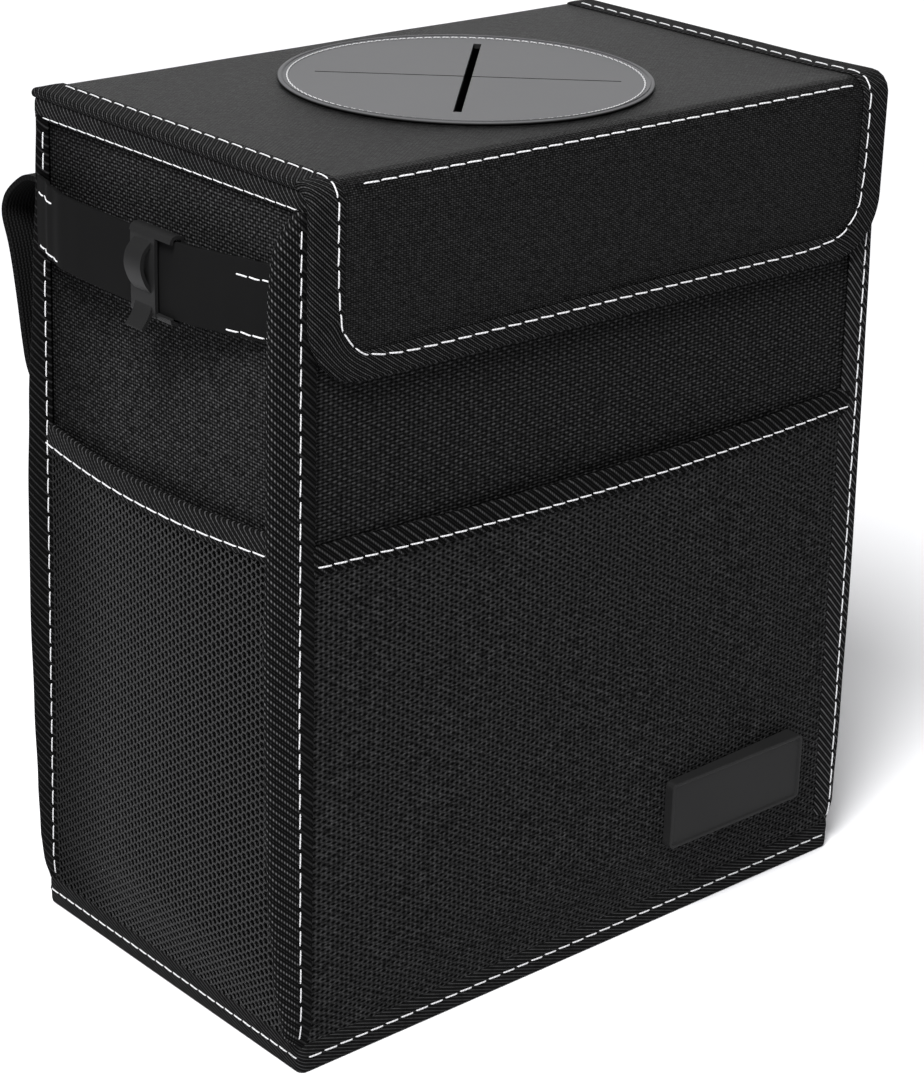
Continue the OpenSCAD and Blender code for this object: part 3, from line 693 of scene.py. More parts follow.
base = {"halfX": 125.2, "halfY": 72.7, "radius": 2.6, "leg": 10.6, "under": 11.0, "stitch": 5.65,
        "pitch": {"front": (6.45, 5.5), "left": (4.9, 4.35), "right": (4.9, 4.35), "back": (6.45, 5.5)}}


def roundedLoop(halfX, halfY, radius, step=6.0):
    # points and outward directions round a rectangle with round corners, from the back right corner
    out = []
    corners = [(1, 1, 0), (-1, 1, 90), (-1, -1, 180), (1, -1, 270)]
    for sx, sy, start in corners:
        for k in range(7):
            angle = math.radians(start + 15 * k)
            way = Vector((math.cos(angle), math.sin(angle), 0))
            out.append((Vector((sx * (halfX - radius), sy * (halfY - radius), 0)) + way * radius, way))
    dense = []
    for (p, n), (q, m) in zip(out, out[1:] + out[:1]):
        parts = max(1, round((q - p).length / step))
        for k in range(parts):
            t = k / parts
            dense.append((p.lerp(q, t), n.lerp(m, t).normalized()))
    return dense + dense[:1]


def baseBinding():
    loop = roundedLoop(base["halfX"], base["halfY"], base["radius"])
    leg = base["leg"]
    profile = [(-base["under"], 0.7), (-base["under"] + 0.8, 0.0), (-6, -0.05), (-1.2, -0.05), (-0.5, 0.1),
               (-0.1, 0.55), (0.1, 1.3), (0.2, 3.6), (0.1, 5.6), (0.25, 7.2), (0.25, 9.0),
               (0.05, leg - 0.2), (-0.5, leg)]
    across = acrossOf(profile)
    along = lengthsOf([p for p, n in loop])

    def place(u, w):
        i, j = round(u * (len(profile) - 1)), round(w * (len(loop) - 1))
        point, way = loop[j]
        out, z = profile[i]
        spot = point + way * out
        for axis, half in ((0, base["halfX"] + out), (1, base["halfY"] + out)):
            spot[axis] = min(max(spot[axis], -half), half)  # the leg below is mitred at the corners
        return spot + Vector((0, 0, z)), (along[j], across[i])

    piece = makeSheet("baseBinding", (len(profile) - 1, len(loop) - 1), place, "baseTwill", "bin",
                      "binding_tape", centre=(0, 0, 40), thick=shell["tapeThick"], weld=True, even=False)
    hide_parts("base_binding")
    ring = roundedLoop(base["halfX"] + 0.12, base["halfY"] + 0.12, base["radius"], step=3)
    for side, (pitch, length) in base["pitch"].items():
        run = [(p, n) for p, n in ring if n.dot(outward[side]) > 0.7]
        if side == "right":
            run = [q for q in run if q[0].y < 0] + [q for q in run if q[0].y >= 0]
        sew("bin", [(p + Vector((0, 0, base["stitch"])), n) for p, n in run], pitch=pitch, length=length)


baseBinding()


def basePanel():
    # the cloth under the bin, turned up inside the binding
    loop = roundedLoop(base["halfX"] - 0.9, base["halfY"] - 0.9, base["radius"] - 0.9)
    bm = bmesh.new()
    layer = bm.loops.layers.uv.new("UVMap")
    floorRing = [bm.verts.new((p + Vector((0, 0, 0.8))) * unit) for p, n in loop[:-1]]
    bottom = bm.faces.new(floorRing)
    made = bmesh.ops.extrude_edge_only(bm, edges=list(bottom.edges))
    for v in (g for g in made["geom"] if isinstance(g, bmesh.types.BMVert)):
        v.co.z += 6.0 * unit
    for face in bm.faces:
        for loopCorner in face.loops:
            loopCorner[layer].uv = (loopCorner.vert.co.x / unit, loopCorner.vert.co.y / unit)
    piece = finishPiece(bm, "baseCloth", "frontWeave", "bin", "outer_cloth", centre=(0, 0, 30), thick=0.7)
    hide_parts("base_panel")


basePanel()
print("base ready")


# rim

rim = {"top": 292.6, "outer": 7.2, "inner": 8.0, "back": 71.6, "stitch": 286.3, "thick": 3.4, "out": 1.3}


def rimBinding():
    w, d = shell["halfWidth"] + rim["out"], shell["halfDepth"] + rim["out"]
    corner = 3.0
    left = [(-w, y) for y in (rim["back"], 50, 34, 18, 2, -14, -30, -46, -d + corner)]
    left += [(-w + corner * (1 - math.cos(math.radians(a))), -d + corner * (1 - math.sin(math.radians(a))))
             for a in (22, 45, 68)]
    left.append((-w + corner, -d))
    path = left + [(x, -d) for x in range(-100, 101, 20)] + [(-x, y) for x, y in reversed(left)]
    spots = []
    for k, (x, y) in enumerate(path):
        a, b = path[max(k - 1, 0)], path[min(k + 1, len(path) - 1)]
        tangent = Vector((b[0] - a[0], b[1] - a[1], 0)).normalized()
        spots.append((Vector((x, y, 0)), tangent.cross(Vector((0, 0, 1)))))
    half = rim["thick"] / 2
    top = rim["top"]
    profile = [(0.0, top - rim["outer"]), (0.3, top - rim["outer"] + 0.35), (0.25, top - 6.2),
               (0.45, top - 4.6), (0.45, top - 3.0)]
    profile += [(-half + 0.35 + half * math.cos(math.pi * k / 6), top - half + half * math.sin(math.pi * k / 6))
                for k in range(7)]
    profile += [(-rim["thick"] + 0.35, top - half - (rim["inner"] - half) * k / 3) for k in range(1, 4)]
    across = acrossOf(profile)
    along = lengthsOf([p for p, n in spots])

    def place(u, t):
        i, j = round(u * (len(profile) - 1)), round(t * (len(spots) - 1))
        point, out = spots[j]
        off, z = profile[i]
        return lean((point.x + out.x * off, point.y + out.y * off, z)), (along[j], across[i])

    piece = makeSheet("rimBinding", (len(profile) - 1, len(spots) - 1), place, "rimTwill", "bin",
                      "binding_tape", thick=shell["tapeThick"], flip=True)
    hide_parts("rim_binding")

    def coreOf(u, t):
        j = round(t * (len(spots) - 1))
        point, out = spots[j]
        return lean((point.x - out.x, point.y - out.y, top - 7 + 6 * u)), (along[j], 6 * u)

    makeSheet("rimCore", (2, len(spots) - 1), coreOf, "frontWeave", "bin", "outer_cloth", thick=2.2, mid=True)
    for side in (-1, 1):
        sew("bin", [(lean((side * (w + 0.3), y, rim["stitch"])), Vector((side, 0, 0)))
                    for y in [70 - 139 * k / 30 for k in range(31)]], pitch=5.1, length=4.8, thread=0.2)
    sew("bin", [(lean((x, -d - 0.3, rim["stitch"])), outward["front"]) for x in range(-118, 119, 4)],
        pitch=5.1, length=4.8)


rimBinding()
print("rim ready")


# pockets

frontPocket = {"top": 182.6, "sag": 1.35, "tilt": 0.35, "stand": 4.2, "low": 7.0, "hem": 9.3, "stitch": 6.6,
               "flat": (0.246, 0.176)}
meshPocket = {"top": 183.2, "sag": 1.9, "tilt": -0.25, "stand": 5.2, "low": 6.5, "hem": 9.7, "stitch": 7.2,
              "cell": 1.333, "tall": 1.217, "strand": 0.18, "thick": 0.4,
              "strands": 0.55}  # strands: the share of the net that isn't hole


def pocketTop(p, t):
    return p["top"] - p["sag"] * (1 - (2 * t - 1) ** 2) + p["tilt"] * (2 * t - 1)


def pocketOff(p, a, low, high, z):
    # how far a pocket's sheet stands off its wall
    rise = math.sin(math.pi * min(max((a - low) / (high - low), 0), 1))
    wave = 0.4 * noise.noise(Vector((a * 0.03, z * 0.02, p["top"])))
    return 0.9 + (p["stand"] + wave) * rise * ease((z - 6) / 34)


def pocketPoint(p, side, t, z, low, high, extra=0.0):
    a = low + (high - low) * t
    return wall(side, a, z, pocketOff(p, a, low, high, z) + extra)


def clothPocket():
    p, low, high = frontPocket, -121.0, 121.0

    def place(u, w):
        z = p["low"] + (pocketTop(p, u) - 0.5 - p["low"]) * w
        return pocketPoint(p, "front", u, z, low, high), (low + (high - low) * u, z)

    piece = makeSheet("frontPocket", (48, 36), place, "pocketWeave", "bin", "outer_cloth",
                      centre=(0, 0, 90), thick=shell["clothThick"])
    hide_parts("front_pocket")


def netPocket(side, low, high, node):
    # honeycomb net: hexagons are welded, inset and opened, then bent to the pocket's shape
    p = meshPocket
    bm = bmesh.new()
    columnStep, rowStep = p["cell"] * 1.5, p["cell"] * math.sqrt(3)
    for i in (0, 1):
        spot = Matrix.Translation((low + columnStep * i, 3.5 + rowStep * i / 2, 0))
        bmesh.ops.create_circle(bm, cap_ends=True, segments=6, radius=p["cell"],
                                matrix=spot @ Matrix.Rotation(math.pi / 2, 4, "Z"))
    for step, span in ((Vector((columnStep * 2, 0, 0)), high - low),
                       (Vector((0, rowStep, 0)), p["top"] / p["tall"])):
        while step.length < span:
            copied = bmesh.ops.duplicate(bm, geom=bm.verts[:] + bm.edges[:] + bm.faces[:])["geom"]
            bmesh.ops.translate(bm, vec=step, verts=[g for g in copied if isinstance(g, bmesh.types.BMVert)])
            step = step * 2

    def outside(v):
        top = pocketTop(p, (v.co.x - low) / (high - low)) - 1.5
        return v.co.x > high + p["cell"] or v.co.y * p["tall"] > top

    bmesh.ops.delete(bm, geom=[f for f in bm.faces if any(outside(v) for v in f.verts)], context="FACES")
    bmesh.ops.remove_doubles(bm, verts=bm.verts, dist=0.05)
    cells = list(bm.faces)
    bmesh.ops.inset_individual(bm, faces=cells, thickness=p["strand"], use_even_offset=True)
    bmesh.ops.delete(bm, geom=cells, context="FACES_ONLY")
    layer = bm.loops.layers.uv.new("UVMap")
    for face in bm.faces:
        for loop in face.loops:
            loop[layer].uv = (loop.vert.co.x, loop.vert.co.y * p["tall"])
    for v in bm.verts:
        a, z = min(max(v.co.x, low), high), v.co.y * p["tall"]
        v.co = wall(side, a, z, pocketOff(p, a, low, high, z)) * unit
    piece = finishPiece(bm, side + "MeshPocket", "knit", "bin", "mesh", centre=(0, 0, 90), thick=p["thick"],
                        even=False)
    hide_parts(node)


def pocketHem(p, side, low, high, name, node, finish, pitch, length):
    n = 40
    sign = -1 if side == "right" else 1
    profile = [(p["hem"], 0.65), (p["hem"] - 0.6, 1.1), (p["hem"] * 0.66, 1.15), (p["hem"] * 0.33, 1.2)]
    profile += [(1.2 - 1.2 * math.sin(math.pi * i / 6), 1.2 * math.cos(math.pi * i / 6)) for i in range(7)]
    profile += [(p["hem"] * k / 3, -1.1) for k in range(1, 4)]

    def place(u, w):
        i, t = round(u * (len(profile) - 1)), round(w * n) / n
        z = pocketTop(p, t)
        a = low + (high - low) * t
        down, off = profile[i]
        limit = max(off, 0.25 - pocketOff(p, a, low, high, z))
        run = p["hem"] - down if off > 0 else p["hem"] + down  # the threads, laid out flat
        return pocketPoint(p, side, t, z - down, low, high, limit - 0.4), (sign * a, run)

    centre = {"front": (0, -shell["halfDepth"] - 3, 180), "left": (-shell["halfWidth"] - 3, 0, 180),
              "right": (shell["halfWidth"] + 3, 0, 180)}[side]
    piece = makeSheet(name, (len(profile) - 1, n), place, finish, "bin", "binding_tape",
                      centre=centre, thick=shell["tapeThick"])
    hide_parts(node)
    line = [(pocketPoint(p, side, k / n, pocketTop(p, k / n) - p["stitch"], low, high, 0.78), outward[side])
            for k in range(n + 1)]
    sew("bin", line, pitch=pitch, length=length)


clothPocket()
pocketHem(frontPocket, "front", -121.0, 121.0, "frontPocketBinding", "front_pocket_binding", "hemTwill",
          5.8, 5.2)
for side in ("left", "right"):
    start = -68.5 if side == "left" else -57.0
    netPocket(side, start, 70.0, side + "_mesh_pocket")
    pocketHem(meshPocket, side, start, 69.0, side + "MeshBinding", side + "_mesh_binding", "netTwill",
              6.5, 5.8)
print("pockets ready")


# label

label = {"x": 66.0, "z": 44.5, "halfWide": 33.0, "halfHigh": 12.75, "corner": 2.2, "thick": 7.2,
         "rim": 1.2, "slope": 0.3, "sunk": 0.5, "back": 72.4}


def makeLabel():
    bm = bmesh.new()
    bm.loops.layers.uv.new("UVMap")
    ring = []
    for sx, sz, start in ((1, 1, 0), (-1, 1, 90), (-1, -1, 180), (1, -1, 270)):
        x, z = (label["x"] + sx * (label["halfWide"] - label["corner"]),
                label["z"] + sz * (label["halfHigh"] - label["corner"]))
        for k in range(5):
            angle = math.radians(start + 22.5 * k)
            ring.append((x + label["corner"] * math.cos(angle), z + label["corner"] * math.sin(angle)))
    verts = [bm.verts.new((x * unit, -label["back"] * unit, z * unit)) for x, z in ring]
    front = bm.faces.new(verts)
    back = bmesh.ops.extrude_face_region(bm, geom=[front])
    moved = [g for g in back["geom"] if isinstance(g, bmesh.types.BMVert)]
    bmesh.ops.translate(bm, verts=moved, vec=(0, -label["thick"] * unit, 0))
    face = next(g for g in back["geom"] if isinstance(g, bmesh.types.BMFace))
    bmesh.ops.inset_region(bm, faces=[face], thickness=label["rim"] * unit, use_even_offset=True)
    bmesh.ops.inset_region(bm, faces=[face], thickness=label["slope"] * unit, depth=-label["sunk"] * unit,
                           use_even_offset=True)
    bmesh.ops.recalc_face_normals(bm, faces=bm.faces)
    piece = finishPiece(bm, "frontLabel", "labelRubber", "bin", "label_rubber", bevel=0.35)
    piece.modifiers["softEdge"].harden_normals = False
    for face in piece.data.polygons:
        face.use_smooth = False
    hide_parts("front_label")


makeLabel()


# straps and hooks

strap = {"low": 242.7, "high": 267.2, "thick": 1.3,
         "bow": [(-67.0, 1.0), (-57.5, 1.6), (-47, 4.2), (-36.5, 7.4), (-26, 10.2), (-17, 11.2), (5, 11.2),
                 (32, 10.6), (44, 9.8), (56, 7.0), (63, 4.2), (69.3, 2.8)],
         "shortBow": [(-56.5, 1.0), (-49, 1.8), (-40, 5.0), (-32, 8.4), (-24, 10.6), (-17, 11.2), (5, 11.2),
                      (32, 10.6), (44, 9.8), (56, 7.0), (63, 4.2), (69.3, 2.8)]}


def makeStrap(side):
    table = strap["bow"] if side == "left" else strap["shortBow"]
    low, high = table[0][0], table[-1][0]
    sign = -1 if side == "left" else 1

    def place(u, w):
        y = low + (high - low) * u
        z = strap["low"] + (strap["high"] - strap["low"]) * w
        crown = 0.25 * math.sin(math.pi * w)
        return wall(side, y, z, between(table, y) + crown), (z, y)

    piece = makeSheet(side + "Strap", (64, 8), place, "band", "bin", "strap",
                      centre=(sign * 100, 0, 255), thick=strap["thick"], bevel=0.3)
    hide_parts(side + "_strap")
    start = {"left": -61.8, "right": -52.5}[side]
    for y0, y1, z in ((68.0, 53.2, 262), (68.7, 46.4, 244.5), (start + 19.5, start, 262),
                      (start + 24.3, start + 1.8, 244.3)):
        line = [(wall(side, y0 + (y1 - y0) * k / 12, z, between(table, y0 + (y1 - y0) * k / 12) + 0.15),
                 outward[side]) for k in range(13)]
        sew("bin", line, pitch=4.95, length=4.3)


hook = {"thick": 1.2, "plateY": (-19.2, 1.8), "tongueY": (-9.7, -1.1), "faceY": (-11.6, 1.0), "behind": 129.4,
        "front": 133.9, "low": 241.4, "high": 268.4}


def hookStrip(bm, outline, stretch, sign):
    def place(u, w):
        spot = outline[round(u * (len(outline) - 1))]
        return (sign * spot[0], stretch[0] + (stretch[1] - stretch[0]) * w, spot[1]), (w, u)

    layGrid(bm, (len(outline) - 1, 6), place)


def makeHook(side):
    sign = -1 if side == "left" else 1
    h = hook
    plate = smoothLine([(h["front"] - 0.1, h["low"] + 1.8), (h["front"] - 0.6, h["low"] + 0.3),
                        (h["behind"] + 1.6, h["low"]), (h["behind"], h["low"] + 1.6),
                        (h["behind"], h["low"] + 9), (h["behind"], h["high"] - 9),
                        (h["behind"], h["high"] - 1.6), (h["behind"] + 1.6, h["high"]),
                        (h["front"] - 0.8, h["high"] - 0.3), (h["front"] - 0.1, h["high"] - 1.9)], 4)
    face = smoothLine([(h["front"] - 0.4, h["low"] + 1.2), (h["front"] + 0.1, h["low"] + 2.4),
                       (h["front"] + 0.1, h["high"] - 4.0), (h["front"] - 0.4, h["high"] - 1.6)], 6)
    tongue = smoothLine([(132.2, 266.6), (133.6, 265.2), (135.6, 263.6), (137.1, 261.8), (137.9, 259.3),
                         (137.8, 256.3), (136.4, 252.6), (134.6, 250.0), (133.3, 248.9), (134.0, 248.0),
                         (133.9, 245.6), (134.8, 242.7), (136.1, 240.3), (138.0, 237.9)], 4)
    bm = bmesh.new()
    hookStrip(bm, plate, h["plateY"], sign)
    hookStrip(bm, face, h["faceY"], sign)
    hookStrip(bm, tongue, h["tongueY"], sign)
    piece = finishPiece(bm, side + "Hook", "hookPlastic", "bin", "hook_plastic", thick=h["thick"],
                        bevel=0.25, mid=True)
    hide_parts(side + "_hook")


for side in ("left", "right"):
    makeStrap(side)
    makeHook(side)
print("straps and hooks ready")


# webbing loops on the back

loops = {"x": (78.0, 116.0), "thick": 1.8,
         "route": [(71.7, 274), (71.6, 268), (72.0, 263.4), (75.0, 261.2), (81.0, 261.4), (87.5, 260.8),
                   (93.6, 257.4), (98.9, 252.9), (101.3, 248.9), (101.9, 245.8), (101.2, 242.4), (98.6, 236.0),
                   (96.5, 228.0), (94.2, 216.4), (91.9, 203.0), (89.6, 194.5), (84.0, 187.0), (77.0, 182.0),
                   (72.8, 178.0), (71.9, 173.0), (71.9, 162.0)],
         "sewn": [(272.5, 266.0), (173.0, 163.5)]}


def makeLoop(sign, name, node):
    route = smoothLine(loops["route"], 4)
    reach = acrossOf(route)

    def place(u, w):
        j = round(w * (len(route) - 1))
        x = loops["x"][0] + (loops["x"][1] - loops["x"][0]) * u
        y, z = route[j]
        return (sign * x, y, z), (x, reach[j])

    piece = makeSheet(name, (10, len(route) - 1), place, "webbing", "bin", "webbing",
                      thick=loops["thick"], mid=True)
    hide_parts(node)
    x0, x1 = sign * (loops["x"][0] + 3), sign * (loops["x"][1] - 3)
    for za, zb in loops["sewn"]:
        y = 72.6
        corners = [(x0, y, za), (x1, y, za), (x1, y, zb), (x0, y, zb)]
        runs = list(zip(corners, corners[1:] + corners[:1]))
        runs += [(corners[0], corners[2]), (corners[1], corners[3])]
        for a, b in runs:
            sew("bin", [(Vector(a).lerp(Vector(b), k / 6), outward["back"]) for k in range(7)],
                pitch=3.2, length=2.6, thread=0.3)


makeLoop(-1, "backLeftLoop", "back_left_loop")
makeLoop(1, "backRightLoop", "back_right_loop")
print("back loops ready")


# lid and flap

lid = {"left": -123.2, "right": 125.0, "topRight": 122.2, "back": 71.2, "top": 294.3, "foldY": -66.0,
       "radius": 6.6, "flapBottom": 231.9, "corner": 21.0, "thick": 1.8, "tapeFace": 12.8, "tapeBack": 9.0,
       "stitch": 9.9, "bottomFace": 9.6, "bottomStitch": 6.4, "flat": (0.2462, 0.2021), "area": 0.0407}
disc = {"x": 0.4, "y": 2.0, "radius": 62.0, "hole": 53.0, "stitch": 58.7, "high": 0.55,
        "slits": [(45, 2.7, 97.0), (-43, 0.9, 100.8)], "slitX": 1.8, "slitY": 2.8}
arcLength = lid["radius"] * math.pi / 2
topLength = lid["back"] - lid["foldY"]
flapLength = lid["top"] - lid["radius"] - lid["flapBottom"]
lidLength = topLength + arcLength + flapLength


def lidPoint(x, s, h):
    # x across, s from the lid's back edge over the fold to the flap's lower edge, h off the face
    if x > 0:
        x *= between([(topLength - 30, lid["topRight"]), (topLength + 12, lid["right"])], s) / lid["right"]
    if s <= topLength:
        return Vector((x, lid["back"] - s, lid["top"] + h))
    if s <= topLength + arcLength:
        angle = (s - topLength) / lid["radius"]
        r = lid["radius"] + h
        return Vector((x, lid["foldY"] - r * math.sin(angle),
                       lid["top"] - lid["radius"] + r * math.cos(angle)))
    down = s - topLength - arcLength
    return Vector((x, lid["foldY"] - lid["radius"] - h, lid["top"] - lid["radius"] - down))


def lidNormal(s):
    angle = min(max((s - topLength) / lid["radius"], 0), math.pi / 2)
    return Vector((0, -math.sin(angle), math.cos(angle)))


foldBlend = {"body": "flap", "start": (0, (lid["foldY"] - 0.3) * unit, (lid["top"] + 0.2) * unit),
             "end": (0, (lid["foldY"] - lid["radius"]) * unit, (lid["top"] - lid["radius"] - 0.6) * unit)}


def insideFlap(x, s, inset):
    # pulls a point of the sheet inside the flap's round corners
    r = lid["corner"]
    limit = lidLength - inset
    for edge, sign in ((lid["left"] + inset, 1), (lid["right"] - inset, -1)):
        cx, cs = edge + sign * (r - inset), limit - (r - inset)
        if (cx - x) * sign > 0 and s > cs:
            away = Vector((x - cx, s - cs))
            span = max(abs(away.x), abs(away.y))
            if away.length > 1e-6:
                away = away.normalized() * span
            return cx + away.x, cs + away.y
    return x, s


def openHole(bm, wider=0.0):
    # the round hole under the disc: nearby points move onto its edge
    middle = Vector((disc["x"], disc["y"], 0)) * unit
    edge = (disc["hole"] + wider) * unit

    def away(co):
        return (co - middle).xy.length

    top = [v for v in bm.verts if v.co.z > (lid["top"] - 4) * unit]
    for v in top:
        if abs(away(v.co) - edge) < 2.6 * unit:
            way = (v.co - middle).xy.normalized() * edge
            v.co.x, v.co.y = middle.x + way.x, middle.y + way.y
    inside = [f for f in bm.faces if f.verts[0] in set(top) and away(f.calc_center_median()) < edge]
    bmesh.ops.delete(bm, geom=inside, context="FACES")
    for v in (v for v in bm.verts if v.co.z > (lid["top"] - 4) * unit and away(v.co) < edge):
        way = (v.co - middle).xy.normalized() * edge
        v.co.x, v.co.y = middle.x + way.x, middle.y + way.y


def lidCloth(name, h, inset, centreLook, nodes):
    def place(u, w):
        x = lid["left"] + inset + (lid["right"] - lid["left"] - 2 * inset) * u
        s = inset * 0.3 + (lidLength - inset * 1.3) * w
        x, s = insideFlap(x, s, inset)
        edge = min(1.0, min(x - lid["left"], lid["right"] - x) / 30)
        puff = 0.35 * ease(edge) * noise.noise(Vector((x * 0.018, s * 0.018, 3))) if h > -1 else 0
        return lidPoint(x, s, h + puff), (x, s)

    piece = makeSheet(name, (48, 84), place, "lidWeave", "lid", "outer_cloth", centre=centreLook,
                      thick=0.7, blendTo=foldBlend, cut=openHole)
    if nodes:
        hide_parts(*nodes)


lidCloth("lidAndFlapCloth", 0.0, 1.0, (0, 0, 200), ["lid_cover", "flap_cover"])
lidCloth("lidAndFlapLining", -lid["thick"], 1.0, (0, -400, 900), [])

backStrip = {"half": 121.0, "y": 71.6, "low": 281.9, "high": 293.9, "thick": 0.6, "bend": (290.0, 293.8),
             "flat": (0.242, 0.012)}


def backFold():
    # the cloth that joins the back wall to the lid's back edge
    b = backStrip

    def place(u, w):
        x, z = b["half"] * (2 * u - 1), b["low"] + (b["high"] - b["low"]) * w
        return (x, b["y"], z), (x, z)

    start, end = ((0, b["y"] * unit, z * unit) for z in b["bend"])
    piece = makeSheet("backFold", (32, 12), place, "frontWeave", "bin", "outer_cloth", centre=(0, 0, 290),
                      thick=b["thick"], blendTo={"body": "lid", "start": start, "end": end})


backFold()
print("lid cloth ready")


def lidEdge():
    # the bound edge in lid coordinates: (x, s, inward x, inward s)
    r, sides = lid["corner"], []
    straight = lidLength - r
    for edge, sign in ((lid["left"], 1), (lid["right"], -1)):
        side = [(edge, straight * k / 36, sign, 0) for k in range(37)]
        for k in range(1, 12):
            a = math.pi / 2 * k / 12
            side.append((edge + sign * (r - r * math.cos(a)), straight + r * math.sin(a),
                         sign * math.cos(a), -math.sin(a)))
        sides.append(side)
    lower = [(lid["left"] + r + (lid["right"] - lid["left"] - 2 * r) * k / 32, lidLength, 0, -1)
             for k in range(33)]
    return sides[0] + lower + sides[1][::-1]


def denser(path, limit):
    out = [path[0]]
    for a, b in zip(path, path[1:]):
        parts = max(1, math.ceil(math.hypot(b[0] - a[0], b[1] - a[1]) / limit))
        out += [tuple(a[i] + (b[i] - a[i]) * k / parts for i in range(4)) for k in range(1, parts + 1)]
    return out


def lidBinding():
    edge = denser(lidEdge(), 2.6)
    half = (lid["thick"] + 1.3) / 2
    middle = -lid["thick"] / 2 - 0.05
    face = lid["tapeFace"]
    shape = [(1.0, middle + half - 0.35), (0.95, middle + half), (0.7, middle + half + 0.1),
             (0.45, middle + half + 0.05), (0.25, middle + half)]
    profile = [(face * a, h) for a, h in shape]
    profile += [(half - half * math.sin(math.pi * k / 7), middle + half * math.cos(math.pi * k / 7))
                for k in range(8)]
    profile += [(lid["tapeBack"] * k / 3, middle - half) for k in range(1, 4)]
    across = acrossOf(profile)
    toEdge = face + half * (math.pi / 2 - 1)

    def place(u, w):
        i, j = round(u * (len(profile) - 1)), round(w * (len(edge) - 1))
        x, s, ix, iz = edge[j]
        length = math.hypot(ix, iz)
        ix, iz = ix / length, iz / length
        a, h = profile[i]
        if a > half:
            a *= 1 - (1 - lid["bottomFace"] / lid["tapeFace"]) * abs(iz)  # less shows along the lower edge
        run = toEdge - across[i]
        px, ps = x + ix * run, s + iz * run - topLength  # the tape's threads, laid out flat
        return lidPoint(x + ix * a, max(s + iz * a, 0.2), h), (px, -ps if px > 0 or ps > 0 else ps)

    piece = makeSheet("lidAndFlapBinding", (len(profile) - 1, len(edge) - 1), place, "lidTwill", "lid",
                      "binding_tape", thick=0.6, blendTo=foldBlend)
    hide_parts("lid_left_binding", "lid_right_binding", "flap_binding")
    total = lengthsOf([(e[0], e[1], 0) for e in edge])
    bend = lidLength - lid["corner"] * (1 - math.pi / 4) + 3
    bends = (bend, total[-1] - bend)  # the row turns wide round both corners
    for h, side in ((middle + half + 0.08, 1), (middle - half - 0.08, -1)):
        line = []
        for e, run in zip(edge, total):
            length = math.hypot(e[2], e[3])
            away = lid["stitch"] + (lid["bottomStitch"] - lid["stitch"]) * abs(e[3]) / length
            away += sum(4.0 * math.exp(-((run - bend) / 18) ** 2) for bend in bends)
            if side < 0:
                away -= 2
            x, s = e[0] + e[2] / length * away, e[1] + e[3] / length * away
            if s > 1.5:
                line.append((lidPoint(x, s, h), lidNormal(s) * side))
        sew("lid", line, pitch=6.8, length=5.8)


lidBinding()
foldStitch = topLength + arcLength * 0.56
sew("lid", [(lidPoint(x, foldStitch, 0.1), lidNormal(foldStitch)) for x in range(-105, 114, 3)],
    pitch=6.6, length=5.8)
print("lid binding ready")


def innerBoard(name, s0, s1, node, body, cut=None):
    # stiff board inside the lid or the flap
    def place(u, w):
        x = lid["left"] + 2.5 + (lid["right"] - lid["left"] - 5) * u
        x, s = insideFlap(x, s0 + (s1 - s0) * w, 2.5)
        return lidPoint(x, s, -0.75), (x, s)

    piece = makeSheet(name, (48, 32), place, "board", body, "stiffening_board", centre=(0, 0, 200), thick=0.6,
                      cut=cut)
    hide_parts(node)


innerBoard("lidBoard", 2.5, topLength - 1, "lid_board", "lid", lambda bm: openHole(bm, 3.0))
innerBoard("flapBoard", topLength + arcLength + 1, lidLength - 2.5, "flap_board", "flap")


# disc

def makeDisc():
    # spun profile: rolled lip, stitched groove, flat middle; the slits are cut out afterwards
    bm = bmesh.new()
    bm.loops.layers.uv.new("UVMap")
    r, top = disc["radius"], lid["top"] + 0.2
    flat = top + disc["high"]
    profile = [(r - 1.2, top - 0.3), (r - 0.6, top), (r - 0.15, top + 0.35), (r, top + 0.65),
               (r - 0.3, top + 0.95), (r - 1.0, top + 1.05), (r - 2.0, top + 0.9), (r - 2.9, flat),
               (r - 3.6, flat - 0.05), (r - 5.0, flat), (r - 9.0, flat)]
    profile += [(a, flat) for a in (40.0, 24.0, 10.0)]
    verts = [bm.verts.new((a * unit, 0, z * unit)) for a, z in profile]
    edges = [bm.edges.new(pair) for pair in zip(verts, verts[1:])]
    bmesh.ops.spin(bm, geom=verts + edges, cent=(0, 0, 0), axis=(0, 0, 1), dvec=(0, 0, 0),
                   angle=2 * math.pi, steps=96, use_merge=True)
    hole = [e for e in bm.edges if e.is_boundary and e.verts[0].co.xy.length < 11 * unit]
    bmesh.ops.holes_fill(bm, edges=hole, sides=0)
    bmesh.ops.translate(bm, verts=bm.verts, vec=(disc["x"] * unit, disc["y"] * unit, 0))
    bmesh.ops.recalc_face_normals(bm, faces=bm.faces)
    for turn, width, length in disc["slits"]:
        cutSlit(bm, turn, width, length)
    piece = finishPiece(bm, "slotDisc", "discRubber", "lid", "disc_rubber", centre=(0, 0, 0), thick=1.6)
    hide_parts("slot_disc")
    ring = []
    for k in range(181):
        a = 2 * math.pi * k / 180
        spot = (disc["x"] + disc["stitch"] * math.cos(a), disc["y"] + disc["stitch"] * math.sin(a), flat)
        ring.append((Vector(spot), Vector((0, 0, 1))))
    sew("disc", ring, pitch=3.1, length=2.85, thread=0.24)


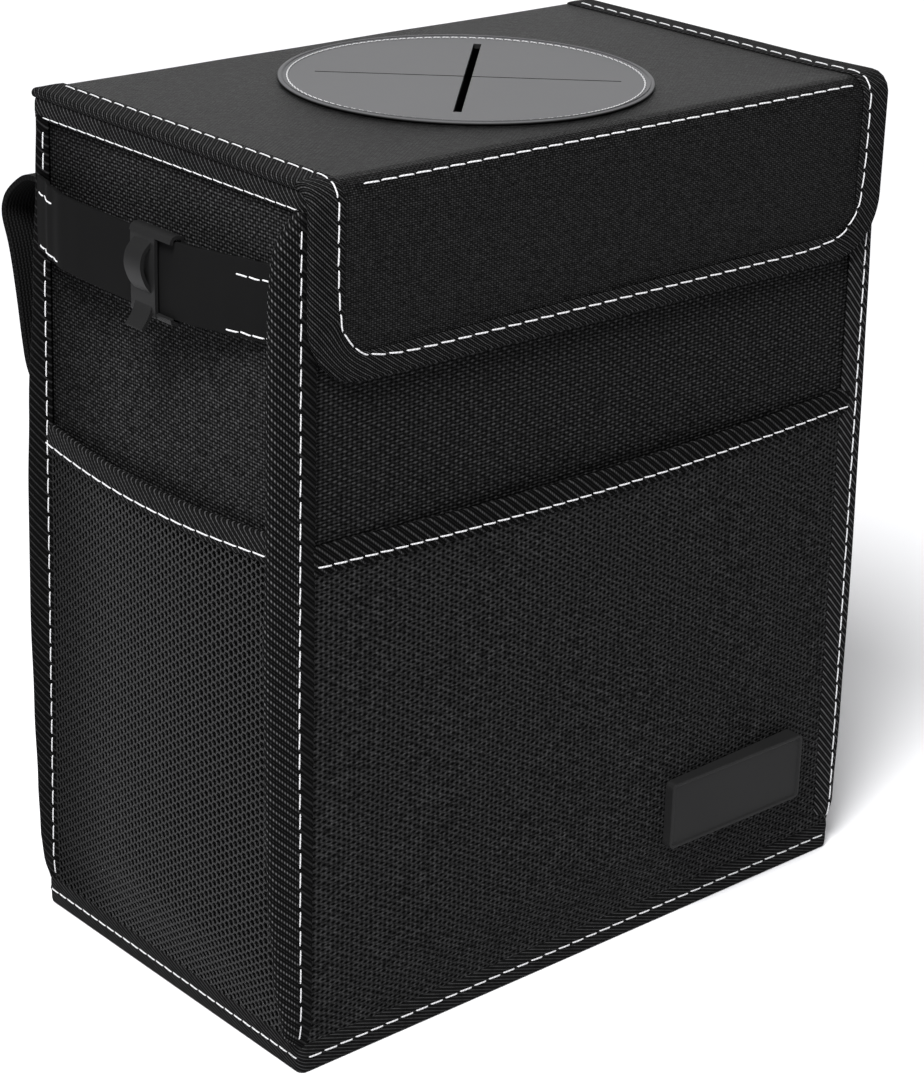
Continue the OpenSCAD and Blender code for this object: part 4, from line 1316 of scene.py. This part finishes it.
def cutSlit(bm, turn, width, length):
    # cuts the sheet along a slit's four sides and takes out what lies inside
    angle = math.radians(turn)
    along = Vector((math.cos(angle), math.sin(angle), 0))
    side = Vector((-math.sin(angle), math.cos(angle), 0))
    middle = Vector((disc["slitX"], disc["slitY"], 0)) * unit
    for way, far in ((side, width / 2), (-side, width / 2), (along, length / 2), (-along, length / 2)):
        near = [f for f in bm.faces if (f.calc_center_median() - middle).xy.length < 55 * unit]
        geom = list({e for f in near for e in f.edges} | {v for f in near for v in f.verts} | set(near))
        bmesh.ops.bisect_plane(bm, geom=geom, dist=1e-7, plane_co=middle + way * far * unit, plane_no=way)
    halves = ((side, width / 2 * unit - 1e-7), (along, length / 2 * unit - 1e-7))
    gone = [f for f in bm.faces
            if all(abs((f.calc_center_median() - middle).dot(way)) < far for way, far in halves)]
    bmesh.ops.delete(bm, geom=gone, context="FACES")


makeDisc()
print("disc ready")


# fasteners under the flap

patch = {"halfWide": 30.0, "low": 241.2, "high": 263.2, "thick": 0.9}


def makePatch(name, y, look, body, node):
    def place(u, w):
        x = -patch["halfWide"] + 2 * patch["halfWide"] * u
        z = patch["low"] + (patch["high"] - patch["low"]) * w
        lump = 0.12 * noise.noise(Vector((x * 0.9, z * 0.9, y)))
        return (x, y + look * lump, z), (x, z)

    piece = makeSheet(name, (30, 12), place, "pile", body, "fastener", centre=(0, -look * 900, 250),
                      thick=patch["thick"])
    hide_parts(node)


makePatch("loopFastener", -69.6, -1, "bin", "loop_fastener")
makePatch("hookFastener", -69.9, 1, "flap", "hook_fastener")


# stitches

finishPiece(stitchStore["bin"], "binStitching", "thread", "bin", "binding_tape", weld=True)
finishPiece(stitchStore["lid"], "lidAndFlapStitching", "thread", "lid", "binding_tape", weld=True,
            blendTo=foldBlend)
finishPiece(stitchStore["disc"], "discStitching", "discThread", "lid", "binding_tape", weld=True)
print("stitches ready")

for name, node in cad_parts.items():
    if node.hide_render:
        continue
    node.data.materials.clear()
    node.data.materials.append(finishes["board"])
    print("kept from the frame:", name)
